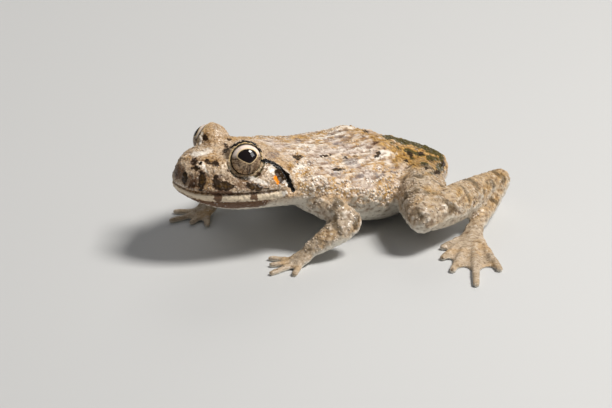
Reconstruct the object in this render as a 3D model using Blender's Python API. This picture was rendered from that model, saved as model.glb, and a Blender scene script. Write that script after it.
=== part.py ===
"""A crab-eating frog, life size, crouching with its head held level.

The trunk is one loft from snout to vent, parted into head, lower jaw and torso.
Limbs are lofts along a path, each cut clear of the one that it grows from.
Sizes are in millimetres, measured back from the snout tip, left of the midline
and up from the floor, and the finished frog is centred on its box, in metres.
"""

import math

import bmesh
import bpy
from mathutils import Matrix, Vector

# Scale and clearances
MM = 0.001
GAP = 0.3
FAR = 60.0

# Trunk sections: distance behind the snout tip, top, widest level, half width, underside
TRUNK = [
    (0.25, 21.2, 18.8, 2.0, 16.8),
    (0.9, 22.1, 17.8, 3.6, 15.7),
    (2.2, 22.9, 17.35, 5.4, 14.5),
    (4.0, 23.6, 17.2, 7.1, 13.5),
    (6.5, 24.2, 17.1, 8.8, 12.5),
    (9.5, 24.5, 16.95, 10.3, 11.9),
    (13.0, 24.6, 16.8, 11.6, 11.5),
    (17.0, 24.0, 16.5, 12.5, 11.1),
    (21.0, 22.6, 15.8, 13.0, 10.5),
    (25.0, 21.2, 14.6, 13.6, 9.3),
    (30.0, 20.1, 12.9, 14.7, 6.5),
    (36.0, 18.4, 11.3, 15.9, 3.0),
    (42.0, 17.5, 10.0, 16.2, 0.8),
    (47.0, 17.4, 9.1, 15.6, -0.4),
    (52.0, 16.7, 8.4, 14.6, -0.6),
    (57.0, 14.3, 7.6, 13.0, -0.5),
    (62.0, 12.4, 6.9, 10.8, -0.3),
    (66.5, 10.4, 6.0, 7.8, 0.5),
    (70.0, 8.6, 5.4, 4.6, 1.9),
    (71.8, 7.1, 5.2, 2.2, 3.3),
]
SNOUT_TIP = (0.0, 19.6)
VENT_TIP = (72.4, 5.1)
HEAD_RINGS = 15
TORSO_RINGS = 26
RING_EASE = 1.35

# Section shape: a power of 1 is an ellipse and less is squarer, below for head and body
UPPER_POWER = 0.96
JAW_POWER = 0.52
BELLY_POWER = 0.86

# Where the trunk is parted
NECK = 22.9
MOUTH_FRONT = 17.4
MOUTH_FALL = 0.047
MOUTH_CORNER = 17.4
JAW_BACK = 20.2
CHIN_LEVEL = 8.0

# Folds along the back: angle of each crest from the spine, length of a fold and its start in the wave
FOLDS = [(8, 15.0, 0.1), (20, 12.0, 0.6), (33, 16.0, 0.3), (46, 11.0, 0.8), (60, 13.0, 0.45), (74, 10.0, 0.0)]
FOLD_HALF = 2.9
FOLD_RISE = 0.6
FOLD_FROM = 19.5
FOLD_TO = 66.0

# Angles of the plain columns between the folds, lips and belly
PLAIN_COLUMNS = [0, 26.5, 53, 67, 82, 87, 90, 93, 98, 110, 124, 140, 160, 180]

# Swellings and hollows: distance back, angle, spread of each and rise
SWELLINGS = {
    "snout ridge": (4.5, 38, 3.2, 9, 0.35),
    "cheek hollow": (7.0, 62, 3.0, 10, -0.45),
    "brow hollow": (9.5, 10, 3.0, 12, -0.4),
    "crown hollow": (13.0, 0, 4.0, 10, -0.5),
    "upper lip front": (3.0, 84, 3.5, 4, 0.25),
    "upper lip": (11.0, 84, 6.0, 4, 0.35),
    "lower lip": (9.0, 96, 8.0, 4, 0.3),
    "mouth line": (8.0, 90, 9.0, 2, -0.3),
    "jaw corner": (19.5, 88, 2.0, 7, 0.6),
    "ear hollow": (18.8, 70, 1.8, 9, -0.35),
    "shoulder": (28.0, 66, 4.5, 20, 0.9),
    "flank": (41.0, 92, 6.0, 24, 0.6),
    "hip crest": (50.0, 24, 3.0, 15, 0.7),
    "tail bone": (58.0, 0, 7.0, 9, 0.5),
    "hip": (58.5, 64, 4.5, 20, 1.1),
}

# Eyes
EYE_OUT = 6.2
EYE_BACK = 12.85
EYE_LEVEL = 23.1
EYE_RADIUS = 3.5
LID_RADIUS = 4.15
LID_EDGE = 1.0
EYE_FORWARD = math.radians(24)
EYE_UP = math.radians(14)

# Nostrils
NOSTRIL_BACK = 3.1
NOSTRIL_ANGLE = 24
NOSTRIL_RIM = 0.85
NOSTRIL_HOLE = 0.42

# Eardrum, the fold above it and the gland behind the mouth
EAR_BACK = 18.7
EAR_ANGLE = 71
EAR_RADIUS = 1.65
EAR_RIM = 0.3
EAR_FOLD = [(15.4, 40), (17.6, 46), (19.3, 55), (20.6, 69), (21.3, 83), (21.6, 97)]
EAR_FOLD_RADII = [0.5, 0.8, 0.85, 0.85, 0.75, 0.5]
GLAND_BACK = 19.9
GLAND_ANGLE = 92
GLAND_RADIUS = 1.1

# Warts on the flanks and rump: distance back, angle, radius
WARTS = [
    (25.6, 80, 0.9),
    (29.0, 83, 0.8),
    (31.5, 79, 1.1),
    (35.0, 90, 0.9),
    (38.5, 81, 1.2),
    (41.5, 66, 0.9),
    (45.5, 53, 0.9),
    (50.0, 26.5, 0.8),
    (55.0, 14, 0.8),
]
WART_SINK = 0.45

# Limb joints: left of the midline, behind the snout, above the floor. The right leg is drawn in closer
ARM = {
    "shoulder": (8.5, 26.5, 12.6),
    "elbow": (19.6, 32.2, 7.4),
    "wrist": (17.6, 21.6, 2.7),
}
LEG = {
    "left": {
        "hip": (6.0, 60.5, 6.8),
        "knee": (29.0, 44.2, 8.4),
        "heel": (17.6, 74.8, 6.2),
        "ball": (27.8, 59.6, 2.0),
    },
    "right": {
        "hip": (6.0, 60.5, 6.5),
        "knee": (22.8, 40.5, 5.6),
        "heel": (14.5, 71.0, 2.9),
        "ball": (22.4, 54.8, 2.0),
    },
}

# Limb girth at each joint and between: width and height as radii
UPPER_ARM_GIRTH = [(3.2, 3.4), (3.3, 3.3), (2.9, 2.9), (2.4, 2.5)]
FOREARM_GIRTH = [(2.3, 2.4), (2.9, 2.7), (2.5, 2.2), (1.9, 1.5)]
THIGH_GIRTH = [(4.6, 4.6), (5.7, 6.0), (5.0, 5.4), (3.1, 3.4)]
SHANK_GIRTH = [(2.8, 3.1), (3.9, 4.4), (3.2, 3.6), (2.3, 2.6)]
ANKLE_GIRTH = [(2.3, 2.5), (2.1, 2.2), (1.9, 1.8), (1.8, 1.4)]
LIMB_SIDES = 12
LIMB_STEPS = 4
ROUND_ENDS = 0.75
END_RING_AHEAD = 0.65
END_RING_NARROW = 0.72

# How far the middle of each length of limb is bowed upwards and outwards
UPPER_ARM_BOW = (0.3, 0.4)
FOREARM_BOW = (0.3, 0.3)
THIGH_BOW = (0.5, 0.4)
SHANK_BOW = (0.3, 0.4)
ANKLE_BOW = (0.0, 0.4)

# Toes: heading from straight left towards the front in degrees, length, and how far out the web reaches
LEFT_HEADING = 47
RIGHT_HEADING = 50
TOES = [(33, 11.0, 0.88), (18, 16.0, 0.9), (4, 22.0, 0.9), (-10, 29.5, 0.74), (-25, 21.5, 0.92)]
TOE_ROOT = 1.25
TOE_TIP = 0.5
TOE_FLATTEN = 0.85
TOE_SIDES = 8
TOE_KNOBS = [(0.0, 1.0), (0.22, 0.92), (0.38, 0.62), (0.5, 0.74), (0.64, 0.5), (0.76, 0.6), (0.95, 0.4)]
TOE_LIE = 0.8
ROOT_LEVEL = 0.5
WEB_THICK = 0.6
WEB_SAG = 0.16
WEB_STEPS = 6

# The instep, from the ball of the foot along the middle toe and up, and its girth
INSTEP = [(-0.4, 0.0), (2.2, -0.7), (6.5, 0.4)]
INSTEP_GIRTH = [(2.1, 1.5), (2.3, 1.2), (2.4, 0.7)]

# Fingers: heading in degrees and length
HAND_HEADING = 98
FINGERS = [(46, 7.6), (16, 7.2), (-14, 9.6), (-48, 7.4)]
FINGER_ROOT = 1.0
PALM_AHEAD = 1.6
PALM_LONG = 2.0
PALM_LEVELS = (-0.4, 1.0, 0.4)
PALM_GIRTH = [(1.9, 1.4), (2.5, 1.25), (2.25, 0.94)]

# Colours from the photo: red, green, blue and roughness
SKIN_TAN = (0.46, 0.36, 0.24, 0.42)
LIP_CREAM = (0.62, 0.52, 0.38, 0.4)
LIMB_OLIVE = (0.36, 0.32, 0.21, 0.42)
FOOT_GREY = (0.40, 0.35, 0.27, 0.45)
EYE_GOLD = (0.30, 0.20, 0.09, 0.08)


def smooth_between(low, high, value):
    share = max(0.0, min(1.0, (value - low) / (high - low)))
    return share * share * (3 - 2 * share)


def table_row(table, at):
    """The row of a table at a distance, by a cubic through its neighbours."""
    if at <= table[0][0]:
        return table[0][1:]
    if at >= table[-1][0]:
        return table[-1][1:]
    last = next(i for i, row in enumerate(table) if row[0] > at)
    first = last - 1
    span = table[last][0] - table[first][0]
    share = (at - table[first][0]) / span
    before = table[max(first - 1, 0)]
    after = table[min(last + 1, len(table) - 1)]
    row = []
    for column in range(1, len(table[0])):
        start, end = table[first][column], table[last][column]
        slope_in = (end - before[column]) / (table[last][0] - before[0])
        slope_out = (after[column] - start) / (after[0] - table[first][0])
        row.append(
            start * (1 + 2 * share) * (1 - share) ** 2
            + end * share * share * (3 - 2 * share)
            + slope_in * span * share * (1 - share) ** 2
            - slope_out * span * share * share * (1 - share)
        )
    return row


def fold_rise(back, angle, side):
    """Height of the broken folds that run along the back."""
    fade = smooth_between(FOLD_FROM, FOLD_FROM + 4, back) * smooth_between(FOLD_TO, FOLD_TO - 5, back)
    for crest, length, start in FOLDS:
        if abs(angle - crest) < 0.1:
            wave = math.sin(2 * math.pi * (back / length + start + 0.41 * side))
            return FOLD_RISE * fade * (0.55 + 0.45 * wave)
    return 0.0


def swelling_rise(back, angle):
    rise = 0.0
    for far, turn, spread, wide, high in SWELLINGS.values():
        rise += high * math.exp(-(((back - far) / spread) ** 2) - ((angle - turn) / wide) ** 2)
    return rise


def trunk_point(back, angle, side, grow=0.0):
    """A point on the skin of the trunk. The angle runs from the spine down to the midline of the belly."""
    top, level, half, low = table_row(TRUNK, back)
    across = math.sin(math.radians(angle))
    along = math.cos(math.radians(angle))
    belly = smooth_between(NECK - 4, NECK + 8, back)
    power = UPPER_POWER if along > 0 else JAW_POWER + (BELLY_POWER - JAW_POWER) * belly
    height = top - level if along > 0 else level - low
    flat = half * max(across, 0.0) ** power
    rise = height * math.copysign(abs(along) ** power, along)
    out = Vector((flat, 0.0, rise))
    reach = swelling_rise(back, angle) + fold_rise(back, angle, side) + grow
    out += out.normalized() * reach
    return Vector((side * out.x, back, level + out.z))


def skin_normal(back, angle, side):
    point = trunk_point(back, angle, side)
    along = trunk_point(back + 0.4, angle, side) - point
    around = trunk_point(back, angle + 2, side) - point
    normal = along.cross(around)
    if normal.dot(point - Vector((0.0, back, table_row(TRUNK, back)[1]))) < 0:
        normal.negate()
    return normal.normalized()


def mesh_object(name, shape):
    mesh = bpy.data.meshes.new(name)
    shape.to_mesh(mesh)
    shape.free()
    made = bpy.data.objects.new(name, mesh)
    bpy.context.scene.collection.objects.link(made)
    return made


def loft(name, rings, first_tip, last_tip):
    """A closed skin over rings of equal count, with a point at each end."""
    shape = bmesh.new()
    rows = [[shape.verts.new(point) for point in ring] for ring in rings]
    for row, following in zip(rows, rows[1:]):
        for i, corner in enumerate(row):
            beside = (i + 1) % len(row)
            shape.faces.new((corner, row[beside], following[beside], following[i]))
    for row, tip in ((rows[0], first_tip), (rows[-1], last_tip)):
        centre = shape.verts.new(tip)
        for i, corner in enumerate(row):
            shape.faces.new((corner, row[(i + 1) % len(row)], centre))
    bmesh.ops.recalc_face_normals(shape, faces=shape.faces)
    return mesh_object(name, shape)


def limb(name, path, girths, sides=LIMB_SIDES, steps=LIMB_STEPS, grow=0.0):
    """A closed limb along a path of points, with a width and height at each of them."""
    table = [(i, *point, *girth) for i, (point, girth) in enumerate(zip(path, girths))]
    count = (len(path) - 1) * steps
    rows = [table_row(table, i / steps) for i in range(count + 1)]
    centres = [Vector(row[:3]) for row in rows]
    rings = []
    for i, row in enumerate(rows):
        heading = (centres[min(i + 1, count)] - centres[max(i - 1, 0)]).normalized()
        across = heading.cross(Vector((0, 0, 1))).normalized()
        upward = across.cross(heading)
        shares = [(0.0, 1.0)]
        if i == 0:
            shares = [(-END_RING_AHEAD, END_RING_NARROW), (0.0, 1.0)]
        if i == count:
            shares = [(0.0, 1.0), (END_RING_AHEAD, END_RING_NARROW)]
        for ahead, share in shares:
            wide = (row[3] + grow) * share
            tall = (row[4] + grow) * share
            middle = centres[i] + heading * ahead * ROUND_ENDS * (min(row[3], row[4]) + grow)
            ring = []
            for k in range(sides):
                turn = 2 * math.pi * (k + 0.5) / sides
                ring.append(middle + across * wide * math.cos(turn) + upward * tall * math.sin(turn))
            rings.append(ring)
    ends = []
    for near, inner, row in ((0, 1, rows[0]), (count, count - 1, rows[-1])):
        outward = (centres[near] - centres[inner]).normalized()
        ends.append(centres[near] + outward * ROUND_ENDS * (min(row[3], row[4]) + grow))
    return loft(name, rings, *ends)


def ball(name, centre, radius, parts=16, scale=(1, 1, 1)):
    shape = bmesh.new()
    bmesh.ops.create_uvsphere(shape, u_segments=parts, v_segments=parts // 2 + 1, radius=radius)
    bmesh.ops.scale(shape, vec=Vector(scale), verts=shape.verts)
    bmesh.ops.translate(shape, vec=Vector(centre), verts=shape.verts)
    return mesh_object(name, shape)


def prism(name, outline, low, high):
    """A closed block with an outline of (distance back, height), from low to high across the midline."""
    shape = bmesh.new()
    ends = [[shape.verts.new((across, back, up)) for back, up in outline] for across in (low, high)]
    for i, corner in enumerate(ends[0]):
        beside = (i + 1) % len(outline)
        shape.faces.new((corner, ends[0][beside], ends[1][beside], ends[1][i]))
    shape.faces.new(ends[0])
    shape.faces.new(ends[1])
    bmesh.ops.recalc_face_normals(shape, faces=shape.faces)
    return mesh_object(name, shape)


def remove(made):
    mesh = made.data
    bpy.data.objects.remove(made)
    bpy.data.meshes.remove(mesh)


def apply_all(made):
    bpy.context.view_layer.update()
    evaluated = made.evaluated_get(bpy.context.evaluated_depsgraph_get())
    mesh = bpy.data.meshes.new_from_object(evaluated)
    old = made.data
    made.modifiers.clear()
    made.data = mesh
    bpy.data.meshes.remove(old)


def combine(made, others, operation):
    """One exact Boolean of a node with a collection of closed meshes, which is then removed."""
    group = bpy.data.collections.new("operands")
    bpy.context.scene.collection.children.link(group)
    group.hide_render = True
    for other in others:
        for holder in list(other.users_collection):
            holder.objects.unlink(other)
        group.objects.link(other)
        other.display_type = "WIRE"
    change = made.modifiers.new("combine", "BOOLEAN")
    change.operand_type = "COLLECTION"
    change.collection = group
    change.operation = operation
    change.solver = "EXACT"
    apply_all(made)
    for other in others:
        remove(other)
    bpy.data.collections.remove(group)
    keep_largest(made)


def keep_largest(made):
    """Drop every loose scrap but the closed surface with the largest volume."""
    shape = bmesh.new()
    shape.from_mesh(made.data)
    waiting = set(shape.faces)
    pieces = []
    while waiting:
        edge = [waiting.pop()]
        piece = list(edge)
        while edge:
            plain = [side for side in edge.pop().edges if len(side.link_faces) == 2]
            beside = {other for side in plain for other in side.link_faces} & waiting
            waiting -= beside
            piece += beside
            edge += beside
        pieces.append(piece)
    if len(pieces) > 1:
        kept = max(pieces, key=volume_under)
        loose = [face for piece in pieces if piece is not kept for face in piece]
        bmesh.ops.delete(shape, geom=loose, context="FACES")
    shape.to_mesh(made.data)
    shape.free()


def volume_under(faces):
    """Volume of a closed surface, from the signed wedge under each of its faces."""
    volume = 0.0
    for face in faces:
        corners = [corner.co for corner in face.verts]
        for second, third in zip(corners[1:], corners[2:]):
            volume += corners[0].dot(second.cross(third)) / 6
    return volume


def copy_of(made):
    twin = made.copy()
    twin.data = made.data.copy()
    bpy.context.scene.collection.objects.link(twin)
    return twin


def trunk_rows():
    """Distances back for the rings, close together at the snout and even along the body."""
    first = TRUNK[0][0]
    head = [first + (NECK - first) * (i / HEAD_RINGS) ** RING_EASE for i in range(HEAD_RINGS)]
    body = [NECK + (TRUNK[-1][0] - NECK) * i / TORSO_RINGS for i in range(TORSO_RINGS + 1)]
    return head + body


def trunk_columns():
    columns = set(PLAIN_COLUMNS)
    for crest, length, start in FOLDS:
        columns |= {crest - FOLD_HALF, crest, crest + FOLD_HALF}
    return sorted(columns)


def trunk(name, grow=0.0):
    columns = trunk_columns()
    rings = []
    for back in trunk_rows():
        left = [trunk_point(back, angle, 1, grow) for angle in columns]
        right = [trunk_point(back, angle, -1, grow) for angle in columns[1:-1]]
        rings.append(left + right[::-1])
    snout = (0.0, SNOUT_TIP[0] - grow, SNOUT_TIP[1])
    vent = (0.0, VENT_TIP[0] + grow, VENT_TIP[1])
    return loft(name, rings, snout, vent)


def floor_block():
    return prism("floor_block", [(-FAR, -FAR), (2 * FAR, -FAR), (2 * FAR, 0.0), (-FAR, 0.0)], -FAR, FAR)


def jaw_block(grow):
    """The space of the lower jaw: under the mouth line, which falls to its corner, and ahead of the throat."""
    level = MOUTH_FRONT + grow
    outline = [
        (-FAR, level + MOUTH_FALL * FAR),
        (MOUTH_CORNER + grow, level - MOUTH_FALL * MOUTH_CORNER),
        (JAW_BACK + grow, CHIN_LEVEL),
        (-FAR, CHIN_LEVEL),
    ]
    return prism("jaw_block", outline, -FAR, FAR)


def front_block(back):
    return prism("front_block", [(-FAR, -FAR), (back, -FAR), (back, FAR), (-FAR, FAR)], -FAR, FAR)


def eye_axis(side):
    level = math.cos(EYE_UP)
    out = math.cos(EYE_FORWARD) * level
    return Vector((side * out, -math.sin(EYE_FORWARD) * level, math.sin(EYE_UP)))


def eye_centre(side):
    return Vector((side * EYE_OUT, EYE_BACK, EYE_LEVEL))


def turned(made, axis, centre):
    """Turn a shape made around +Z so that it faces along an axis, and set it in place."""
    made.data.transform(Matrix.Translation(centre) @ axis.to_track_quat("Z", "Y").to_matrix().to_4x4())
    return made


def cylinder(name, radius, low, high, parts=20):
    shape = bmesh.new()
    bmesh.ops.create_cone(
        shape, cap_ends=True, segments=parts, radius1=radius, radius2=radius, depth=high - low
    )
    bmesh.ops.translate(shape, vec=Vector((0, 0, (low + high) / 2)), verts=shape.verts)
    return mesh_object(name, shape)


def eye(side_name, side):
    made = ball("eye_" + side_name, (0, 0, 0), EYE_RADIUS, parts=20)
    return turned(made, eye_axis(side), eye_centre(side))


def lid(side):
    made = ball("lid", (0, 0, 0), LID_RADIUS, parts=18)
    return turned(made, eye_axis(side), eye_centre(side))


def eye_cutters(side):
    socket = ball("socket", (0, 0, 0), EYE_RADIUS + GAP, parts=20)
    opening = cylinder("opening", EYE_RADIUS + 1.2, LID_EDGE, LID_RADIUS + 1)
    return [turned(cutter, eye_axis(side), eye_centre(side)) for cutter in (socket, opening)]


def nostril(side, radius, sink):
    normal = skin_normal(NOSTRIL_BACK, NOSTRIL_ANGLE, side)
    centre = trunk_point(NOSTRIL_BACK, NOSTRIL_ANGLE, side) + normal * sink
    return ball("nostril", centre, radius, parts=10)


def ear_rim(side):
    bpy.ops.mesh.primitive_torus_add(
        major_radius=EAR_RADIUS, minor_radius=EAR_RIM, major_segments=14, minor_segments=6
    )
    made = bpy.context.object
    normal = skin_normal(EAR_BACK, EAR_ANGLE, side)
    centre = trunk_point(EAR_BACK, EAR_ANGLE, side)
    return turned(made, normal, centre)


def ear_fold(side):
    path = [trunk_point(back, angle, side) for back, angle in EAR_FOLD]
    girths = [(radius, radius) for radius in EAR_FOLD_RADII]
    return limb("ear_fold", path, girths, sides=8, steps=2)


def gland(side):
    centre = trunk_point(GLAND_BACK, GLAND_ANGLE, side)
    return ball("gland", centre, GLAND_RADIUS, parts=10, scale=(1, 1.5, 0.8))


def head_and_jaw():
    """The head, with its lids, ear rims, folds and nostrils, and the lower jaw parted from it."""
    head = trunk("head")
    jaw = copy_of(head)
    jaw.name = "lower_jaw"
    combine(jaw, [jaw_block(0.0)], "INTERSECT")
    combine(head, [jaw_block(GAP)], "DIFFERENCE")
    added = []
    cut = []
    for side in (1, -1):
        added += [lid(side), ear_rim(side), ear_fold(side), gland(side)]
        added += [nostril(side, NOSTRIL_RIM, -0.35)]
        cut += eye_cutters(side)
        cut += [nostril(side, NOSTRIL_HOLE, 0.35)]
    combine(head, added, "UNION")
    combine(head, cut, "DIFFERENCE")
    combine(head, [front_block(NECK - GAP / 2)], "INTERSECT")
    return [head, jaw]


def wart(back, angle, radius, side):
    normal = skin_normal(back, angle, side)
    centre = trunk_point(back, angle, side) - normal * radius * WART_SINK
    return ball("wart", centre, radius, parts=7)


def torso():
    made = trunk("torso")
    combine(made, [front_block(NECK + GAP / 2)], "DIFFERENCE")
    warts = [wart(back, angle, radius, side) for back, angle, radius in WARTS for side in (1, -1)]
    combine(made, warts, "UNION")
    combine(made, [floor_block()], "DIFFERENCE")
    return made


def sided(point, side):
    return Vector((side * point[0], point[1], point[2]))


def bent(start, end, side, bow_size):
    """Four points from one joint to the next, bowed up and outwards at the middle."""
    lift, out = bow_size
    start = sided(start, side)
    end = sided(end, side)
    bow = Vector((side * out, 0.0, lift))
    return [start, start.lerp(end, 0.33) + bow, start.lerp(end, 0.67) + bow, end]


def arm_piece(name, side, first, last, girth, bow, grow):
    return limb(name, bent(ARM[first], ARM[last], side, bow), girth, grow=grow)


def leg_piece(name, side_name, side, first, last, girth, bow, grow):
    joints = LEG[side_name]
    return limb(name, bent(joints[first], joints[last], side, bow), girth, grow=grow)


def toe(root, heading, length, thick, tip):
    """One toe or finger, lying on the floor, with a knob at each joint and a rounded tip."""
    along = Vector((math.cos(heading), -math.sin(heading), 0.0))
    path = []
    girths = []
    for share, stout in TOE_KNOBS:
        radius = tip + (thick - tip) * stout
        path.append(root + along * length * share + Vector((0, 0, radius * TOE_FLATTEN * TOE_LIE - root.z)))
        girths.append((radius, radius * TOE_FLATTEN))
    return limb("toe", path, girths, sides=TOE_SIDES, steps=1)


def web(name, root, headings):
    """The membrane between the toes, with a hollow edge from each toe to the next."""
    outline = [Vector((root.x, root.y, 0.0))]
    for (first, length, reach), (second, next_length, next_reach) in zip(headings, headings[1:]):
        for i in range(WEB_STEPS + 1):
            share = i / WEB_STEPS
            heading = first + (second - first) * share
            far = length * reach * (1 - share) + next_length * next_reach * share
            far *= 1 - WEB_SAG * math.sin(math.pi * share)
            outline.append(root + Vector((math.cos(heading) * far, -math.sin(heading) * far, -root.z)))
    outline = [point for i, point in enumerate(outline) if (point - outline[i - 1]).length > 0.01]
    shape = bmesh.new()
    low = [shape.verts.new(point) for point in outline]
    high = [shape.verts.new(point + Vector((0, 0, WEB_THICK))) for point in outline]
    count = len(outline)
    for i in range(count):
        beside = (i + 1) % count
        shape.faces.new((low[i], low[beside], high[beside], high[i]))
    for i in range(1, count - 1):
        shape.faces.new((low[0], low[i], low[i + 1]))
        shape.faces.new((high[0], high[i], high[i + 1]))
    bmesh.ops.recalc_face_normals(shape, faces=shape.faces)
    return mesh_object(name, shape)


def side_heading(degrees, side):
    """A heading measured from straight left, mirrored for the right side."""
    return math.radians(degrees) if side > 0 else math.pi - math.radians(degrees)


def foot(side_name, side, middle):
    """A webbed foot: five toes out of one instep, with a web between them."""
    start = sided(LEG[side_name]["ball"], side)
    root = Vector((start.x, start.y, ROOT_LEVEL))
    rays = [(side_heading(middle + turn, side), length, reach) for turn, length, reach in TOES]
    made = web("foot_" + side_name, root, rays)
    toes = []
    for heading, length, reach in rays:
        toes.append(toe(root, heading, length, TOE_ROOT, TOE_TIP))
    forward = side_heading(middle, side)
    along = Vector((math.cos(forward), -math.sin(forward), 0.0))
    path = []
    for base, (ahead, up) in zip((start, start, root), INSTEP):
        path.append(base + along * ahead + Vector((0, 0, up)))
    toes.append(limb("instep", path, INSTEP_GIRTH))
    combine(made, toes, "UNION")
    combine(made, [floor_block()], "DIFFERENCE")
    return made


def hand(side_name, side):
    """A hand with four free fingers."""
    wrist = sided(ARM["wrist"], side)
    forward = side_heading(HAND_HEADING, side)
    along = Vector((math.cos(forward), -math.sin(forward), 0.0))
    middle = Vector((wrist.x, wrist.y, ROOT_LEVEL)) + along * PALM_AHEAD
    path = []
    for base, up in zip((wrist, middle, middle + along * PALM_LONG), PALM_LEVELS):
        path.append(base + Vector((0, 0, up)))
    made = limb("hand_" + side_name, path, PALM_GIRTH)
    fingers = []
    for turn, length in FINGERS:
        fingers.append(toe(middle, side_heading(HAND_HEADING + turn, side), length, FINGER_ROOT, TOE_TIP))
    combine(made, fingers, "UNION")
    combine(made, [floor_block()], "DIFFERENCE")
    return made


def cut_clear(made, neighbours):
    """Cut a limb clear of grown copies of what it meets."""
    combine(made, neighbours, "DIFFERENCE")
    return made


def arm(side_name, side):
    upper = arm_piece("upper_arm_" + side_name, side, "shoulder", "elbow", UPPER_ARM_GIRTH, UPPER_ARM_BOW, 0.0)
    cut_clear(upper, [trunk("near_trunk", GAP)])
    fore = arm_piece("forearm_" + side_name, side, "elbow", "wrist", FOREARM_GIRTH, FOREARM_BOW, 0.0)
    near_upper = arm_piece("near_upper", side, "shoulder", "elbow", UPPER_ARM_GIRTH, UPPER_ARM_BOW, GAP)
    cut_clear(fore, [near_upper, trunk("near_trunk", GAP)])
    palm = hand(side_name, side)
    near_fore = arm_piece("near_fore", side, "elbow", "wrist", FOREARM_GIRTH, FOREARM_BOW, GAP)
    cut_clear(palm, [near_fore])
    return [upper, fore, palm]


def leg(side_name, side, heading):
    thigh = leg_piece("thigh_" + side_name, side_name, side, "hip", "knee", THIGH_GIRTH, THIGH_BOW, 0.0)
    cut_clear(thigh, [trunk("near_trunk", GAP)])
    shank = leg_piece("shank_" + side_name, side_name, side, "knee", "heel", SHANK_GIRTH, SHANK_BOW, 0.0)
    near_thigh = leg_piece("near_thigh", side_name, side, "hip", "knee", THIGH_GIRTH, THIGH_BOW, GAP)
    cut_clear(shank, [near_thigh, trunk("near_trunk", GAP)])
    ankle = leg_piece("ankle_" + side_name, side_name, side, "heel", "ball", ANKLE_GIRTH, ANKLE_BOW, 0.0)
    near_shank = leg_piece("near_shank", side_name, side, "knee", "heel", SHANK_GIRTH, SHANK_BOW, GAP)
    near_thigh = leg_piece("near_thigh", side_name, side, "hip", "knee", THIGH_GIRTH, THIGH_BOW, GAP)
    cut_clear(ankle, [near_shank, near_thigh, trunk("near_trunk", GAP)])
    sole = foot(side_name, side, heading)
    near_ankle = leg_piece("near_ankle", side_name, side, "heel", "ball", ANKLE_GIRTH, ANKLE_BOW, GAP)
    near_shank = leg_piece("near_shank", side_name, side, "knee", "heel", SHANK_GIRTH, SHANK_BOW, GAP)
    near_thigh = leg_piece("near_thigh", side_name, side, "hip", "knee", THIGH_GIRTH, THIGH_BOW, GAP)
    cut_clear(sole, [near_ankle, near_shank, near_thigh])
    return [thigh, shank, ankle, sole]


def material(name, look):
    made = bpy.data.materials.new(name)
    made.use_nodes = True
    shader = made.node_tree.nodes["Principled BSDF"]
    shader.inputs["Base Color"].default_value = (*look[:3], 1.0)
    shader.inputs["Roughness"].default_value = look[3]
    shader.inputs["Metallic"].default_value = 0.0
    made.diffuse_color = (*look[:3], 1.0)
    return made


def paint(nodes, look):
    for made in nodes:
        made.data.materials.clear()
        made.data.materials.append(look)
        for face in made.data.polygons:
            face.use_smooth = True
            face.material_index = 0


def set_in_place(nodes, group):
    """Centre the frog on its own box, turn millimetres into metres and gather the nodes."""
    corners = [corner.co for made in nodes for corner in made.data.vertices]
    low = Vector([min(corner[axis] for corner in corners) for axis in range(3)])
    high = Vector([max(corner[axis] for corner in corners) for axis in range(3)])
    middle = (low + high) / 2
    shift = Matrix.Translation((-middle.x, -middle.y, 0.0))
    for made in nodes:
        made.data.transform(Matrix.Scale(MM, 4) @ shift)
        bpy.context.scene.collection.objects.unlink(made)
        group.objects.link(made)


def main():
    for made in list(bpy.data.objects):
        bpy.data.objects.remove(made)
    frog = bpy.data.collections.new("crab_eating_frog")
    bpy.context.scene.collection.children.link(frog)

    head, jaw = head_and_jaw()
    body = torso()
    eyes = [eye("left", 1), eye("right", -1)]
    arms = arm("left", 1) + arm("right", -1)
    legs = leg("left", 1, LEFT_HEADING) + leg("right", -1, RIGHT_HEADING)

    paint([head, body], material("skin_tan", SKIN_TAN))
    paint([jaw], material("lip_cream", LIP_CREAM))
    paint(eyes, material("eye_gold", EYE_GOLD))
    feet = [made for made in arms + legs if made.name.startswith(("hand", "foot"))]
    limbs = [made for made in arms + legs if made not in feet]
    paint(limbs, material("limb_olive", LIMB_OLIVE))
    paint(feet, material("foot_grey", FOOT_GREY))
    set_in_place([head, jaw, body] + eyes + arms + legs, frog)


main()
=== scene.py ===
import math

import bmesh
import bpy
import numpy as np
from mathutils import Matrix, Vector, noise
from mathutils.bvhtree import BVHTree
from mathutils.kdtree import KDTree


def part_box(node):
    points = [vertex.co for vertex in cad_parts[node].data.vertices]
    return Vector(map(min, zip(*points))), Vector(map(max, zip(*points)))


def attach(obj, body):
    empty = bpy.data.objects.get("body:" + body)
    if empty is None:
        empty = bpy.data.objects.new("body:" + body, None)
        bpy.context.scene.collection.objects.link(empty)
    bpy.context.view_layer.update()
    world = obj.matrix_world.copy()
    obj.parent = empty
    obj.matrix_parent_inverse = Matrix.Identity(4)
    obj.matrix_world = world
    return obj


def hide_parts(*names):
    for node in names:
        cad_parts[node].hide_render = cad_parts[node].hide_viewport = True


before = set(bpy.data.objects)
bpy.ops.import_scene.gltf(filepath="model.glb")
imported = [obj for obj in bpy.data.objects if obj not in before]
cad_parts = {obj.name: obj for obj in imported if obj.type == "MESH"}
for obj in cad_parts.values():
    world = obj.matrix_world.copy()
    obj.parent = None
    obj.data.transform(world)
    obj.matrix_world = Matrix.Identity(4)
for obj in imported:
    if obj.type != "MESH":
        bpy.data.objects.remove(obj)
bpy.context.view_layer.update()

mm = 0.001

# Where the frog is: its midline, the tip of its snout and the floor, read from the frame
headLow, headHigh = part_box("head")
midline = (headLow.x + headHigh.x) / 2
snoutTip = headLow.y
sideNames = {"left": 1, "right": -1}
fleshNames = [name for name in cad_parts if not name.startswith("eye")]


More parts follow.
